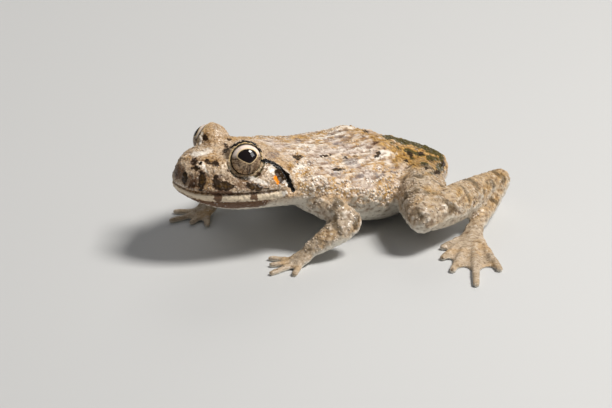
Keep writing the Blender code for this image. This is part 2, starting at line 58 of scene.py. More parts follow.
def place(across, back, up):  # millimetres left of the midline, behind the snout and above the floor
    return Vector((midline + across * mm, snoutTip + back * mm, up * mm))


def toFrog(points):  # metres to the frog's own millimetres
    return (points - np.array([midline, snoutTip, 0.0])) / mm


def ease(low, high, value):  # 0 at low and 1 at high, with soft ends
    share = np.clip((np.asarray(value, float) - low) / (high - low), 0.0, 1.0)
    return share * share * (3 - 2 * share)


def hill(value, middle, spread):  # 1 at the middle, falling away on both sides
    return np.exp(-(((value - middle) / spread) ** 2))


# Camera, at the photo's angle and framing
cameraPlan = {
    "azimuth": 53.0,
    "elevation": 23.0,
    "distance": 2500.0,  # millimetres
    "pixelsPerMm": 4.6,
    "imageSize": (612, 408),
    "snoutPixel": (180.0, 168.0),  # the tip of the snout in the photo
    "snoutUp": 22.0,
    "sensor": 36.0,
    "clipStart": 0.05,
}
imageMiddle = np.array(cameraPlan["imageSize"]) / 2


def cameraAxes(plan):
    turn = math.radians(plan["azimuth"])
    tilt = math.radians(plan["elevation"])
    right = Vector((math.cos(turn), math.sin(turn), 0.0))
    upward = Vector((-math.sin(turn) * math.sin(tilt), math.cos(turn) * math.sin(tilt), math.cos(tilt)))
    return right, upward, right.cross(upward)


viewRight, viewUp, viewBack = cameraAxes(cameraPlan)


def addCamera(plan):
    aside, lower = (imageMiddle - np.array(plan["snoutPixel"])) / plan["pixelsPerMm"]
    aim = place(0, 0, plan["snoutUp"]) + (viewRight * aside - viewUp * lower) * mm
    data = bpy.data.cameras.new("camera")
    data.sensor_width = plan["sensor"]
    data.lens = plan["sensor"] * plan["distance"] * plan["pixelsPerMm"] / plan["imageSize"][0]
    data.clip_start = plan["clipStart"]
    camera = bpy.data.objects.new("camera", data)
    bpy.context.scene.collection.objects.link(camera)
    camera.location = aim + viewBack * plan["distance"] * mm
    camera.rotation_euler = viewBack.to_track_quat("Z", "Y").to_euler()
    bpy.context.scene.camera = camera
    return aim


aimPoint = addCamera(cameraPlan)


def photoPlace(frog):  # where points of the frog, in its own millimetres, show in the photo
    flat = frog - toFrog(np.array(aimPoint))
    distance = cameraPlan["distance"]
    scale = cameraPlan["pixelsPerMm"] * distance / (distance - flat @ np.array(viewBack))
    across = flat @ np.array(viewRight) * scale
    up = flat @ np.array(viewUp) * scale
    return imageMiddle + np.stack([across, -up], 1)


print("camera ready")

# Eyes: where they sit, and the way each one looks
eyePlan = {
    "out": 6.2,
    "back": 12.85,
    "up": 23.1,
    "forward": 24.0,  # degrees
    "lift": 14.0,
    "radius": 3.62,
    "bulge": 0.3,  # how far the ball stands out of its socket
    "rings": 64,
    "sides": 96,
    "lidRing": 3.62,  # radius of the ring of skin round the opening
    "lidAhead": 1.4,
    "lidThick": 0.26,
    "lidSteps": 40,
    "lidSides": 8,
}


def eyeAxes(side):
    turn = math.radians(eyePlan["forward"])
    tilt = math.radians(eyePlan["lift"])
    ahead = Vector((side * math.cos(turn) * math.cos(tilt), -math.sin(turn) * math.cos(tilt), math.sin(tilt)))
    rear = (Vector((0, 0, 1)).cross(ahead) * side).normalized()
    upward = (Vector((0, 0, 1)) - ahead * ahead.z).normalized()
    return rear, upward, ahead


def eyeMiddle(side):
    return Vector((side * eyePlan["out"], eyePlan["back"], eyePlan["up"]))


def inEye(frog, side):  # towards the back, upwards and outwards from the middle of an eye
    return (frog - np.array(eyeMiddle(side))) @ np.array(eyeAxes(side)).T


# Skin: one closed surface over every node of flesh
skinPlan = {
    "grow": 0.22,  # closes the thin gaps between the nodes
    "voxel": 0.46,
    "smoothRounds": 7,
    "smoothIn": 0.5,
    "smoothOut": -0.52,
    "headBack": 23.5,  # ahead of this, and above the throat, the mesh is twice as fine
    "headUp": 13.4,
    "socketMargin": 0.15,  # inside the sockets it stays coarse
    "socketFront": 0.9,
}
mouthPlan = {"front": 17.4, "fall": 0.047, "corner": 17.4}


def lidRing(side, shape):
    rear, upward, ahead = eyeAxes(side)
    centre = eyeMiddle(side) + ahead * eyePlan["lidAhead"]
    steps, sides = eyePlan["lidSteps"], eyePlan["lidSides"]
    rounds = []
    for i in range(steps):
        turn = 2 * math.pi * i / steps
        outward = rear * math.cos(turn) + upward * math.sin(turn)
        ring = []
        for k in range(sides):
            roll = 2 * math.pi * k / sides
            reach = eyePlan["lidRing"] + eyePlan["lidThick"] * math.cos(roll)
            point = centre + outward * reach + ahead * eyePlan["lidThick"] * math.sin(roll)
            ring.append(shape.verts.new(place(*point)))
        rounds.append(ring)
    for i, ring in enumerate(rounds):
        following = rounds[(i + 1) % steps]
        for k in range(sides):
            face = (ring[k], following[k], following[(k + 1) % sides], ring[(k + 1) % sides])
            shape.faces.new(face if side > 0 else face[::-1])


def fleshShape(grow):
    shape = bmesh.new()
    for name in fleshNames:
        shape.from_mesh(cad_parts[name].data)
    bmesh.ops.remove_doubles(shape, verts=shape.verts, dist=0.000001)
    for side in (1, -1):
        lidRing(side, shape)
    shape.normal_update()
    for corner in shape.verts:
        corner.co += corner.normal * grow * mm
    return shape


def evaluatedMesh(carrier):
    bpy.context.view_layer.update()
    return bpy.data.meshes.new_from_object(carrier.evaluated_get(bpy.context.evaluated_depsgraph_get()))


def placed(name, mesh):
    item = bpy.data.objects.new(name, mesh)
    bpy.context.scene.collection.objects.link(item)
    return item


def remeshed(shape, voxel):
    mesh = bpy.data.meshes.new("flesh")
    shape.to_mesh(mesh)
    shape.free()
    carrier = placed("flesh", mesh)
    remesh = carrier.modifiers.new("remesh", "REMESH")
    remesh.mode = "VOXEL"
    remesh.voxel_size = voxel * mm
    result = evaluatedMesh(carrier)
    bpy.data.objects.remove(carrier)
    bpy.data.meshes.remove(mesh)
    return result


def vectorsOf(values, name, count):
    flat = np.empty(count * 3, np.float32)
    values.foreach_get(name, flat)
    return flat.reshape(-1, 3).astype(float)


def pointsOf(mesh):
    return vectorsOf(mesh.vertices, "co", len(mesh.vertices))


def normalsOf(mesh):
    return vectorsOf(mesh.vertex_normals, "vector", len(mesh.vertices))


def setPoints(mesh, points):
    mesh.vertices.foreach_set("co", points.astype(np.float32).reshape(-1))
    mesh.update()


def edgesOf(mesh):
    flat = np.empty(len(mesh.edges) * 2, np.int32)
    mesh.edges.foreach_get("vertices", flat)
    return flat.reshape(-1, 2)


def beside(values, edges, count):  # the mean of each vertex's neighbours
    total = np.zeros_like(values)
    for column in range(values.shape[1]):
        total[:, column] = np.bincount(edges[:, 0], values[edges[:, 1], column], len(values))
        total[:, column] += np.bincount(edges[:, 1], values[edges[:, 0], column], len(values))
    return total / count


def smoothed(values, edges, rounds, shares):
    count = np.bincount(edges.reshape(-1), minlength=len(values))[:, None]
    for turn in range(rounds):
        for share in shares:
            values = values + (beside(values, edges, count) - values) * share
    return values


def keepLargest(shape):
    waiting = set(shape.verts)
    pieces = []
    while waiting:
        edge = [waiting.pop()]
        piece = list(edge)
        while edge:
            corner = edge.pop()
            for link in corner.link_edges:
                other = link.other_vert(corner)
                if other in waiting:
                    waiting.remove(other)
                    piece.append(other)
                    edge.append(other)
        pieces.append(piece)
    pieces.sort(key=len)
    loose = [corner for piece in pieces[:-1] for corner in piece]
    bmesh.ops.delete(shape, geom=loose, context="VERTS")


def isFine(point):  # true on the head that shows, and not inside the sockets
    frog = Vector(((point.x - midline) / mm, (point.y - snoutTip) / mm, point.z / mm))
    if frog.y > skinPlan["headBack"] or frog.z < skinPlan["headUp"]:
        return False
    side = 1 if frog.x > 0 else -1
    local = frog - eyeMiddle(side)
    clear = local.length > eyePlan["radius"] + skinPlan["socketMargin"]
    return clear or local.dot(eyeAxes(side)[2]) > skinPlan["socketFront"]


def makeSkinMesh():
    mesh = remeshed(fleshShape(skinPlan["grow"]), skinPlan["voxel"])
    shape = bmesh.new()
    shape.from_mesh(mesh)
    keepLargest(shape)
    fine = [edge for edge in shape.edges if all(isFine(corner.co) for corner in edge.verts)]
    bmesh.ops.subdivide_edges(shape, edges=fine, cuts=1, use_grid_fill=True)
    shape.to_mesh(mesh)
    shape.free()
    shares = (skinPlan["smoothIn"], skinPlan["smoothOut"])
    setPoints(mesh, smoothed(pointsOf(mesh), edgesOf(mesh), skinPlan["smoothRounds"], shares))
    setPoints(mesh, pointsOf(mesh) - normalsOf(mesh) * skinPlan["grow"] * mm)
    return mesh


skinMesh = makeSkinMesh()
print("skin drawn over the nodes", len(skinMesh.polygons))


# Relief of the skin: places, heights and sizes in the frog's own millimetres
reliefPlan = {
    "lipRise": 0.2,
    "lips": ((0.75, 0.55), (-0.8, 0.6)),  # how far each lip is above the mouth line, and how thick
    "mouthDeep": 0.32,
    "mouthHalf": 0.26,
    "nostril": (3.0, 3.25, 23.4),
    "nostrilHole": 0.57,
    "nostrilDeep": 0.75,
    "nostrilRim": 0.8,
    "nostrilRise": 0.22,
    "drum": (12.0, 18.7, 19.1),
    "drumRadius": 1.75,
    "drumShape": (0.6, 1.0, 0.92),
    "drumRise": 0.12,
    "drumDeep": 0.22,
    "foldLine": [  # pixels of the photo, from the eye over the eardrum
        (264.5, 160.5), (269, 161.6), (273, 163.3), (277, 165.3), (280.6, 167.8), (284, 172), (287, 177),
        (290, 183), (293, 190),
    ],
    "foldOffset": (0.25, 0.55, 0.6),
    "foldRise": 0.3,
    "foldDeep": 0.3,
    "lidRipple": 0.08,
    "longFold": 0.17,
    "longFoldSize": (0.9, 4.2, 0.9),
    "longRidge": 0.15,
    "longRidgeSize": (1.5, 11.0, 1.5),
    "wrinkle": 0.1,
    "wrinkleSize": (0.7, 1.1, 0.7),
    "pimple": 0.07,
    "pimpleSize": 0.8,
    "backWart": 0.1,
    "flankWart": 0.22,
    "wartSize": 1.5,
    "grain": 0.06,
    "grainSize": 0.42,
    "trunkBack": (30, 45, 57, 62, 66, 71),  # half the trunk's breadth, at these distances from the snout
    "trunkHalf": (14.5, 15.5, 12.0, 9.5, 6.5, 2.0),
}


def fieldOf(points, size, seed):  # smooth noise between -1 and 1, with features of about that size
    scale = np.array(size if isinstance(size, tuple) else (size, size, size))
    spots = points / scale + seed * 17.31
    return np.array([noise.noise(spot) for spot in spots.tolist()]) * 1.6


def fieldPair(points, size, seed):
    return np.stack([fieldOf(points, size, seed), fieldOf(points, size, seed + 1)], 1)


def grainsOf(points, size, seed, low, high):  # 1 at the middle of each grain and 0 at its edge
    spots = points / size + seed * 11.7
    far = np.array([noise.voronoi(spot)[0][0] for spot in spots.tolist()])
    return 1 - ease(low, high, far)


def besidePath(points, path):  # distance of points from a line of straight pieces
    best = np.full(len(points), 1e9)
    for start, end in zip(path, path[1:]):
        start = np.array(start)
        along = np.array(end) - start
        share = np.clip((points - start) @ along / (along @ along), 0, 1)
        best = np.minimum(best, np.linalg.norm(points - start - share[:, None] * along, axis=1))
    return best


def farFrom(points, spot):
    return np.linalg.norm(points - np.array(spot), axis=1)


def onSkin(tree, pixel):  # the point of the near side that shows at a pixel of the photo
    across, down = (np.array(pixel) - imageMiddle) / (cameraPlan["distance"] * cameraPlan["pixelsPerMm"])
    heading = (viewRight * across - viewUp * down - viewBack).normalized()
    origin = aimPoint + viewBack * cameraPlan["distance"] * mm
    return toFrog(np.array(tree.ray_cast(origin, heading)[0]))


def mirrored(frog):  # the same points, all on the left
    return np.column_stack([np.abs(frog[:, 0]), frog[:, 1:]])


def mouthLevel(back):
    return mouthPlan["front"] - mouthPlan["fall"] * back


def headRelief(twin, normal):  # lips, nostrils, eardrums and lids
    plan = reliefPlan
    back, up = twin[:, 1], twin[:, 2]
    level = mouthLevel(back)
    sideways = 1 - ease(0.45, 0.8, np.abs(normal[:, 2]))
    mouth = sideways * (1 - ease(mouthPlan["corner"] - 0.6, mouthPlan["corner"] + 0.8, back))
    rise = -plan["mouthDeep"] * mouth * hill(up, level, plan["mouthHalf"])
    rise += plan["lipRise"] * mouth * sum(hill(up, level + above, thick) for above, thick in plan["lips"])
    far = farFrom(twin, plan["nostril"])
    hole = plan["nostrilDeep"] * (1 - ease(0.1, plan["nostrilHole"], far))
    rise += plan["nostrilRise"] * hill(far, plan["nostrilRim"], 0.3) - hole
    far = np.linalg.norm((twin - np.array(plan["drum"])) * np.array(plan["drumShape"]), axis=1)
    hollow = plan["drumDeep"] * (1 - ease(1.2, 1.7, far))
    rise += plan["drumRise"] * hill(far, plan["drumRadius"], 0.22) - hollow
    return rise


def shapeRelief(mesh):
    plan = reliefPlan
    frog = toFrog(pointsOf(mesh))
    twin = mirrored(frog)
    normal = normalsOf(mesh)
    back, up = frog[:, 1], frog[:, 2]
    head = 1 - ease(22, 25, back)
    rise = headRelief(twin, normal)

    # The fold from the eye over the eardrum, with its crease below
    faces = [face.vertices[:] for face in mesh.polygons]
    tree = BVHTree.FromPolygons([vertex.co for vertex in mesh.vertices], faces)
    crease = [onSkin(tree, pixel) for pixel in plan["foldLine"]]
    ridge = [point + np.array(plan["foldOffset"]) for point in crease]
    hollow = plan["foldDeep"] * hill(besidePath(twin, crease), 0, 0.36)
    rise += plan["foldRise"] * hill(besidePath(twin, ridge), 0, 0.5) - hollow

    # Wrinkles of the lids, folds and warts of the back, and the grain all over
    eyeFar = farFrom(twin, eyeMiddle(1))
    ringed = hill(eyeFar, 5.0, 0.8) * head
    rise += plan["lidRipple"] * ringed * np.sin(eyeFar * 9 + fieldOf(frog, 1.5, 4) * 2)
    topside = ease(-0.1, 0.5, normal[:, 2]) * (1 - head)
    halfWide = np.interp(back, plan["trunkBack"], plan["trunkHalf"])
    trunkOnly = 1 - ease(-1.5, 1.5, np.abs(frog[:, 0]) - halfWide)
    rise += plan["longFold"] * topside * trunkOnly * np.maximum(fieldOf(frog, plan["longFoldSize"], 1), -0.25)
    crossing = np.abs(fieldOf(frog, plan["longRidgeSize"], 51))  # long lines, where the noise crosses zero
    ridges = (1 - ease(0.0, 0.2, crossing)) * topside * trunkOnly
    rise += plan["longRidge"] * ridges
    rise += plan["wrinkle"] * fieldOf(frog, plan["wrinkleSize"], 2) * (0.35 + 0.65 * (1 - head))
    rise += plan["pimple"] * head * grainsOf(frog, plan["pimpleSize"], 6, 0.1, 0.5) * ease(13.6, 15, up)
    flank = ease(0.95, 0.3, np.abs(normal[:, 2])) * ease(21, 24, back) * ease(3, 7, up)
    warts = grainsOf(frog, plan["wartSize"], 3, 0.1, 0.55)
    rise += (plan["backWart"] * (1 - head) + plan["flankWart"] * flank) * warts * ease(0.4, 3, up)
    rise += plan["grain"] * (1 + 0.5 * head) * fieldOf(frog, plan["grainSize"], 5)

    # What lies on the floor stays flat, and the webs nearly smooth
    rise *= ease(0.05, 0.9, up) * (1 - 0.75 * hill(up, 0.3, 0.9))
    moved = pointsOf(mesh) + normal * (rise * mm)[:, None]
    moved[:, 2] = np.maximum(moved[:, 2], 0.00001)
    setPoints(mesh, moved)
    return rise, ridges, crease


rise, ridges, crease = shapeRelief(skinMesh)
print("skin shaped")


# Markings: ellipses at pixels of the photo's frame, as across, down, half wide, half high, turn and strength
markPlan = {
    "dark": [
        (184.5, 178, 2.6, 6.5, 0, 0.95), (202.5, 181.5, 3.6, 9.5, 4, 1), (193, 185, 5, 5, 0, 0.45),
        (222.5, 186, 9, 4.8, 8, 1), (216, 180.5, 2.4, 5.5, 8, 0.8), (254, 187.2, 8.2, 3.0, 4, 1),
        (248.5, 184.6, 3, 1.8, 30, 0.8), (266, 189, 5, 1.2, 2, 0.7), (231, 187, 3, 2.2, -30, 1),
        # (176, 172) on this line is painted shade on the front edge of the snout
        (176, 172, 1.6, 5, -12, 0.5), (194.3, 161, 3.4, 4.6, 15, 0.62), (196.8, 168.6, 4.2, 1.8, 12, 1),
        (206.5, 161.4, 2.6, 1.6, 0, 0.85), (215.4, 163.4, 3.0, 2.3, 0, 0.85), (211, 164, 5, 1.3, 5, 0.6),
        # (224.6, 151), (228, 169.5) and (259, 174) on this line are painted shade in the hollows round the
        # eye
        (224.6, 151, 2.2, 4.6, 35, 0.66), (228, 169.5, 4, 1.6, 25, 0.5), (259, 174, 4, 3, 10, 0.5),
        (298.5, 157, 6.2, 1.5, 4, 1), (325, 155.4, 5.8, 1.2, -12, 1), (336.5, 169.6, 5.8, 1.2, -4, 1),
        (377.5, 154.6, 3.6, 1.9, -35, 1), (346, 157.6, 2.4, 1.2, 0, 0.7), (355.5, 156, 3.4, 1.1, -8, 0.6),
        (344.5, 169.6, 2, 1, 0, 0.6), (297, 163.6, 1.5, 1.2, 0, 0.7), (365.5, 131.6, 5, 1.5, 10, 0.6),
        (302, 141, 4, 1, 20, 0.4), (310, 134, 2, 1, 0, 0.3), (204.6, 138, 2.6, 4.6, 0, 0.62),
        # (226.4, 146.5) and (238, 173) on this line are painted shade in the hollows round the eye
        (229.5, 139, 3, 2, -30, 0.6), (226.4, 146.5, 3.0, 1.8, 35, 0.6), (238, 173, 5, 2, 30, 0.55),
        (410, 154.5, 4.2, 1.8, 30, 0.85), (421.5, 153.6, 4, 1.9, 15, 0.85), (406, 161.5, 1.6, 2.2, 0, 0.8),
        (426, 168, 2, 1.6, 0, 0.9), (437, 173, 3.6, 2.4, -10, 0.9), (443.5, 164, 2.6, 4, 0, 0.7),
        (431, 160.5, 4, 1.4, 20, 0.6), (414, 163, 3, 1.5, 10, 0.5), (396, 160, 2, 4, 40, 0.45),
        (425, 177, 4, 1.2, 12, 0.35), (392, 147, 3, 1.6, 20, 0.4), (403, 149, 3, 1.4, 20, 0.4),
    ],
    "brown": [
        (218, 197.8, 4.2, 3.7, 10, 1), (254.6, 197, 3.2, 3.2, 0, 1), (238.5, 201, 3.2, 1.5, 0, 0.6),
        (193, 184, 5.5, 6, 0, 0.8), (222, 192.5, 20, 1.4, 3, 0.8), (251, 192, 14, 1.1, 0, 0.5),
        (189, 166, 5, 5, 0, 0.4), (213, 147, 3, 3, 0, 0.3), (196, 182, 18, 10, 6, 0.52),
        # (179, 172) here and (178, 174) on the next line are painted shade on the front edge of the snout
        (179, 172, 6, 11, -8, 0.6), (208, 176, 6, 4, 0, 0.45), (244, 186, 15, 4.4, 5, 0.56),
        (225, 178, 8, 5, 0, 0.46), (240, 181, 9, 3.4, 0, 0.5), (178, 174, 4, 8, -10, 0.7),
        (233, 180, 6, 2, -5, 0.35), (240, 187, 4, 3, 0, 0.35), (376, 143.6, 4, 2, 0, 0.8),
        (361, 137.5, 4, 2, 0, 0.6), (291, 168, 2.4, 2.6, 0, 0.5), (308, 173.5, 3.4, 1.8, -15, 0.5),
        (297, 175, 2.4, 1.2, 0, 0.35), (299, 184, 3, 1.6, 0, 0.4), (321, 168.6, 3, 1.3, 20, 0.7),
        (369, 171, 3, 2, 0, 0.4), (358, 165, 1.2, 4, 0, 0.35), (329, 163, 3, 2, 0, 0.25),
        (337, 149, 3.5, 1.4, -30, 0.4), (354, 141, 5, 1.2, 40, 0.35), (377, 163.5, 2.4, 1.6, 0, 0.4),
    ],
    "grey": [
        (333, 132.5, 6, 1.6, -22, 1), (341.5, 137, 7, 1.3, -6, 1), (298, 140.4, 3.5, 1.1, 20, 0.8),
        (336, 144, 4, 1.3, 0, 0.6), (309, 163, 2, 3.4, 0, 0.8), (336, 174, 5, 1.8, 0, 0.7),
        (361, 176, 5, 3, -10, 0.6), (331, 160, 4, 1.4, 30, 0.5), (272, 155, 8, 4, 0, 0.5),
        (250, 180, 4, 3, 0, 0.5), (351, 160.5, 9, 5, -10, 0.55), (330, 157, 7, 3, -8, 0.4),
        (219, 176.5, 3.5, 3, 0, 0.6), (193.6, 161, 3.2, 4.6, 15, 0.7), (335, 122.6, 4, 1.3, -15, 0.7),
        (288, 147, 5, 2, 10, 0.4),
    ],
    "pale": [
        (285.8, 181, 1.9, 5.2, -14, 1), (282.5, 193.4, 5.6, 1.9, -18, 0.9), (258, 181, 13, 2.6, 18, 0.7),
        # (199, 153) on this line is a painted highlight on the top of the snout
        (199, 153, 9, 2.6, -14, 0.8), (204, 168, 1.5, 5, -32, 0.8), (214, 128, 5, 3, 0, 0.42),
        (200.5, 139, 1.4, 10, 8, 0.7), (330, 135.6, 17, 1.0, -16, 0.9), (309, 145.6, 20, 0.9, -4, 0.7),
        (300, 151.6, 14, 1.0, 6, 0.6), (338, 129, 9, 1.2, -10, 0.6), (274, 146, 10, 4, 0, 0.32),
        # (205, 152) on this line is a painted highlight on the top of the snout
        (205, 152, 9, 3, -14, 0.6), (386, 153, 7, 3.4, 10, 0.8), (378, 158, 6, 2, -20, 0.8),
        (300, 166, 6, 3, 0, 0.7), (296, 171, 4, 3, 0, 0.6), (303, 180, 5, 2, 0, 0.6),
        (272, 169, 5, 4, 0, 0.7), (319, 176, 4, 1.8, 0, 0.5), (347, 125.4, 17, 3.0, 10, 0.62),
        (330, 130.6, 12, 2.0, -16, 0.5), (342, 150.6, 2.4, 2, 0, 0.6), (394, 156, 2, 6, 38, 0.5),
    ],
    "warm": [
        (262, 136.4, 40, 2.0, -1.5, 0.8), (384, 151, 6, 5, 14, 0.4), (330, 129, 26, 1.3, -22, 0.7),
        (356, 128, 12, 2, 25, 0.8), (376, 139, 8, 3, 25, 0.9), (300, 139, 22, 0.9, -12, 0.7),
        (352, 127.6, 16, 2.4, 16, 0.8), (316, 133.4, 24, 1.5, -13, 0.9), (284, 150, 3, 2, 0, 0.5),
        (298, 137.4, 15, 3, 3, 0.8), (345, 126, 14, 3, 0, 0.6), (415, 154, 36, 13, 14, 1),
        (392, 147, 16, 7, 14, 1), (291, 167, 3, 3.4, 0, 0.8), (306, 174.5, 5, 3, -15, 0.9),
        (320, 169, 5, 2.4, 20, 0.6), (232, 128, 4, 5, -30, 0.6), (222, 186.6, 6, 1.5, 6, 0.7),
        (255, 186.6, 5, 1.3, 6, 0.7), (210, 162, 2, 1.1, 0, 0.7), (344, 169.5, 2, 1, 0, 0.6),
        (301, 186, 7, 3, 0, 0.6), (264, 144, 3, 3, 0, 0.4), (226, 139, 4, 2, 20, 0.5),
        (341, 157, 3, 1, 0, 0.5),
    ],
    "olive": [
        # (388, 137), (402, 140.4), (418, 144.4) and (433, 149.6) are a near-black band along the upper edge
        # of the rump and far thigh: painted shade. The others are olive blotches of the skin.
        (388, 137, 8, 2.2, 14, 0.9), (402, 140.4, 11, 2.8, 14, 1), (418, 144.4, 12, 3.2, 16, 1),
        (433, 149.6, 10, 3.8, 22, 1), (409, 151, 5, 1.6, 20, 0.9), (418, 154, 7, 2.2, 20, 0.9),
        (432, 158.5, 6, 2.2, 15, 0.9), (424, 163.6, 5, 1.6, 10, 0.7), (440, 167, 4, 4, 0, 0.9),
        (430, 173, 5, 1.8, 10, 0.5), (398, 148.4, 4, 1.2, 24, 0.7), (441, 158, 3, 4, 0, 0.8),
        (412, 158.6, 3.4, 1.4, 30, 0.7), (392, 143.6, 4, 1.1, 24, 0.6),
    ],
    "orange": [
        (276.8, 180.4, 1.9, 4.2, -34, 1), (275.4, 177.4, 1.4, 1.6, 0, 0.7),
    ],
    # painted shadow: the dark brown patch over the eardrum stands for the shadow of the fold above it
    "drum": [
        (280.6, 175.6, 4.3, 8.6, -12, 1),
    ],
}
linePlan = {  # pixels along each line, half its width and its strength
    # a dark line along the crease under the fold: partly a dark stripe of the skin, partly painted shade in
    # the crease
    "fold": (reliefPlan["foldLine"], 2.0, 1.0),
    "lid": (
        [
            (224, 151), (228, 149), (232, 147), (238, 143.4), (244.4, 140.6), (250, 141.6), (256, 145.4),
            (262, 151),
        ],
        0.9, 0.85,
    ),
    # painted shade: the nostril's hole drawn black
    "nostril": ([(199.4, 162.6), (200, 163.6)], 1.7, 1.0),
}
ringPlan = [(379, 173, 4.4, 5.2), (394.5, 170.8, 4, 4), (388.5, 181, 3.6, 2.4)]  # across, down, wide, high
driftPlan = {
    "wander": ((0.7, 21, 1.0), (0.33, 25, 0.8), (2.2, 27, 1.2)),  # size, seed and share of each bend
    "wanderReach": 0.9,  # pixels
    "drift": (5.0, 23, 3.0),  # how the marks of the hidden side stray
    "stray": ((3.4, 61, 9), (1.1, 63, 3)),  # how the warm colour strays at the rear
    "rear": (370, 392),  # pixels across
    "trunkUp": (3.5, 7.0),  # millimetres above the floor where marks start to show, and show in full
}


def markOf(spots, marks, blur):
    found = np.zeros(len(spots))
    for across, down, wide, high, turn, strength in marks:
        angle = math.radians(turn)
        flat = spots - np.array([across, down])
        along = flat[:, 0] * math.cos(angle) + flat[:, 1] * math.sin(angle)
        athwart = flat[:, 1] * math.cos(angle) - flat[:, 0] * math.sin(angle)
        far = np.sqrt((along / (wide + 0.3)) ** 2 + (athwart / (high + 0.3)) ** 2)
        found = np.maximum(found, strength * (1 - ease(1 - blur, 1 + blur, far)))
    return found


def marksAt(spots, stray):
    found = {}
    for name, marks in markPlan.items():
        warm = name == "warm"
        found[name] = markOf(spots + stray * warm, marks, 0.5 + 0.4 * warm)
    found["line"] = np.zeros(len(spots))
    for path, wide, strength in linePlan.values():
        shape = 1 - ease(wide * 0.6, wide * 1.25 + 0.05, besidePath(spots, path))
        found["line"] = np.maximum(found["line"], strength * shape)
    for x, y, wide, high in ringPlan:
        far = np.sqrt(((spots[:, 0] - x) / wide) ** 2 + ((spots[:, 1] - y) / high) ** 2)
        found["grey"] = np.maximum(found["grey"], hill(far, 0.8, 0.28) * 0.8)
    return found


def markSkin(mesh):  # as the photo shows, and mirrored with some drift on the side that it doesn't show
    frog = toFrog(pointsOf(mesh))
    pair = mirrored(frog)
    normal = normalsOf(mesh)
    plan = driftPlan
    wander = sum(fieldPair(frog, size, seed) * share for size, seed, share in plan["wander"])
    wander = wander * plan["wanderReach"]
    size, seed, reach = plan["drift"]
    drift = fieldPair(frog, size, seed) * reach
    toView = np.array(viewBack)
    facing = normal @ toView
    twinFacing = (normal * np.array([-1, 1, 1])) @ toView
    spots = photoPlace(frog) + wander
    twinSpots = photoPlace(pair) + wander + drift
    rear = ease(*plan["rear"], spots[:, :1])
    stray = sum(fieldPair(frog, size, seed) * rear * reach for size, seed, reach in plan["stray"])
    own, twin = marksAt(spots, stray), marksAt(twinSpots, stray)
    shown = np.where(frog[:, 0] > 0, 1, ease(0.0, 0.2, facing))
    trunk = ease(*plan["trunkUp"], frog[:, 2])
    ownShare = shown * ease(-0.3, -0.05, facing) * trunk
    twinShare = (1 - shown) * ease(-0.3, -0.05, twinFacing) * trunk
    found = {name: own[name] * ownShare + twin[name] * twinShare for name in own}

    # Lines stay by the eye, the fold and the nostril
    nearEye = 1 - ease(4.9, 5.5, farFrom(pair, eyeMiddle(1)))
    nearFold = 1 - ease(1.2, 1.8, besidePath(pair, crease))
    nearHole = 1 - ease(1.2, 2.0, farFrom(pair, reliefPlan["nostril"]))
    found["line"] = found["line"] * np.maximum(np.maximum(nearEye, nearFold), nearHole)
    return frog, normal, np.where((shown > 0.5)[:, None], spots, twinSpots), found


barPlan = {  # millimetres from one crossbar of a limb to the next
    "upper_arm": 5.0,
    "forearm": 4.2,
    "hand": 6.0,
    "thigh": 6.4,
    "shank": 6.0,
    "ankle": 5.4,
    "foot": 6.0,
}


def limbBars(frog, normal):  # limb, foot and crossbars at each point, by its nearest node
    clouds = {name: toFrog(pointsOf(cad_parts[name].data)) for name in fleshNames}
    tree = KDTree(sum(len(cloud) for cloud in clouds.values()))
    owner = []
    for name, cloud in clouds.items():
        for point in cloud:
            tree.insert(point, len(owner))
            owner.append(name)
    tree.balance()
    nearest = np.array(owner)[[tree.find(point)[1] for point in frog.tolist()]]
    limb, foot, bars = np.zeros((3, len(frog)))
    warp = fieldOf(frog, 2.2, 31)
    broken = ease(-0.25, 0.2, fieldOf(frog, 1.7, 32))
    for name, cloud in clouds.items():
        kind = name.rsplit("_", 1)[0]
        here = nearest == name
        if kind not in barPlan or not here.any():
            continue
        middle = cloud.mean(0)
        axis = np.linalg.svd(cloud - middle, full_matrices=False)[2][0]
        along = (frog[here] - middle) @ (axis * np.sign(axis[1] + 0.001))
        wave = np.sin(along * 2 * math.pi / barPlan[kind] + warp[here] * 1.5)
        bars[here] = ease(0.1, 0.9, wave) * (0.45 + 0.55 * broken[here])
        limb[here] = 1.0
        if kind in ("foot", "hand"):
            foot[here] = 1.0
            bars[here] *= 0.55
    return limb, foot, bars * ease(-0.35, 0.25, normal[:, 2])


frogPoints, frogNormals, photoSpots, masks = markSkin(skinMesh)
skinEdges = edgesOf(skinMesh)
limb, foot, bars = smoothed(np.stack(limbBars(frogPoints, frogNormals), 1), skinEdges, 3, (0.6,)).T
back, up = frogPoints[:, 1], frogPoints[:, 2]
facingUp = frogNormals[:, 2]
trunkOnly = 1 - limb


# Regions of the skin: where each starts and where it is full
regionPlan = {
    "jawBack": (19, 17),  # millimetres behind the snout
    "jawLowBack": (18.5, 12.5),
    "haloBack": (23, 21),
    "headBack": (25, 21.5),
    "topsideBack": (22, 25),
    "flankBack": (21.5, 24),
    "shoulderBack": (21, 23.5),
    "rumpBack": (40, 62),
    "thighBack": (38, 50),
    "throatUp": (15.5, 12.5),  # millimetres above the floor
    "flankUp": (5, 9),
    "rumpUp": (1, 5),
    "soleUp": (2.2, 1.2),
    "rumpDarkAcross": (400, 392),  # pixels of the photo
    "shoulderMiddle": (301, 174),  # across and down, and then half its size
    "shoulderHalf": (15, 17),
}


def within(name, values):
    return ease(*regionPlan[name], values)


def field(size, seed):
    return fieldOf(frogPoints, size, seed)


def lift(name, values):  # a mask shows at least this much
    masks[name] = np.maximum(masks.get(name, 0), values)


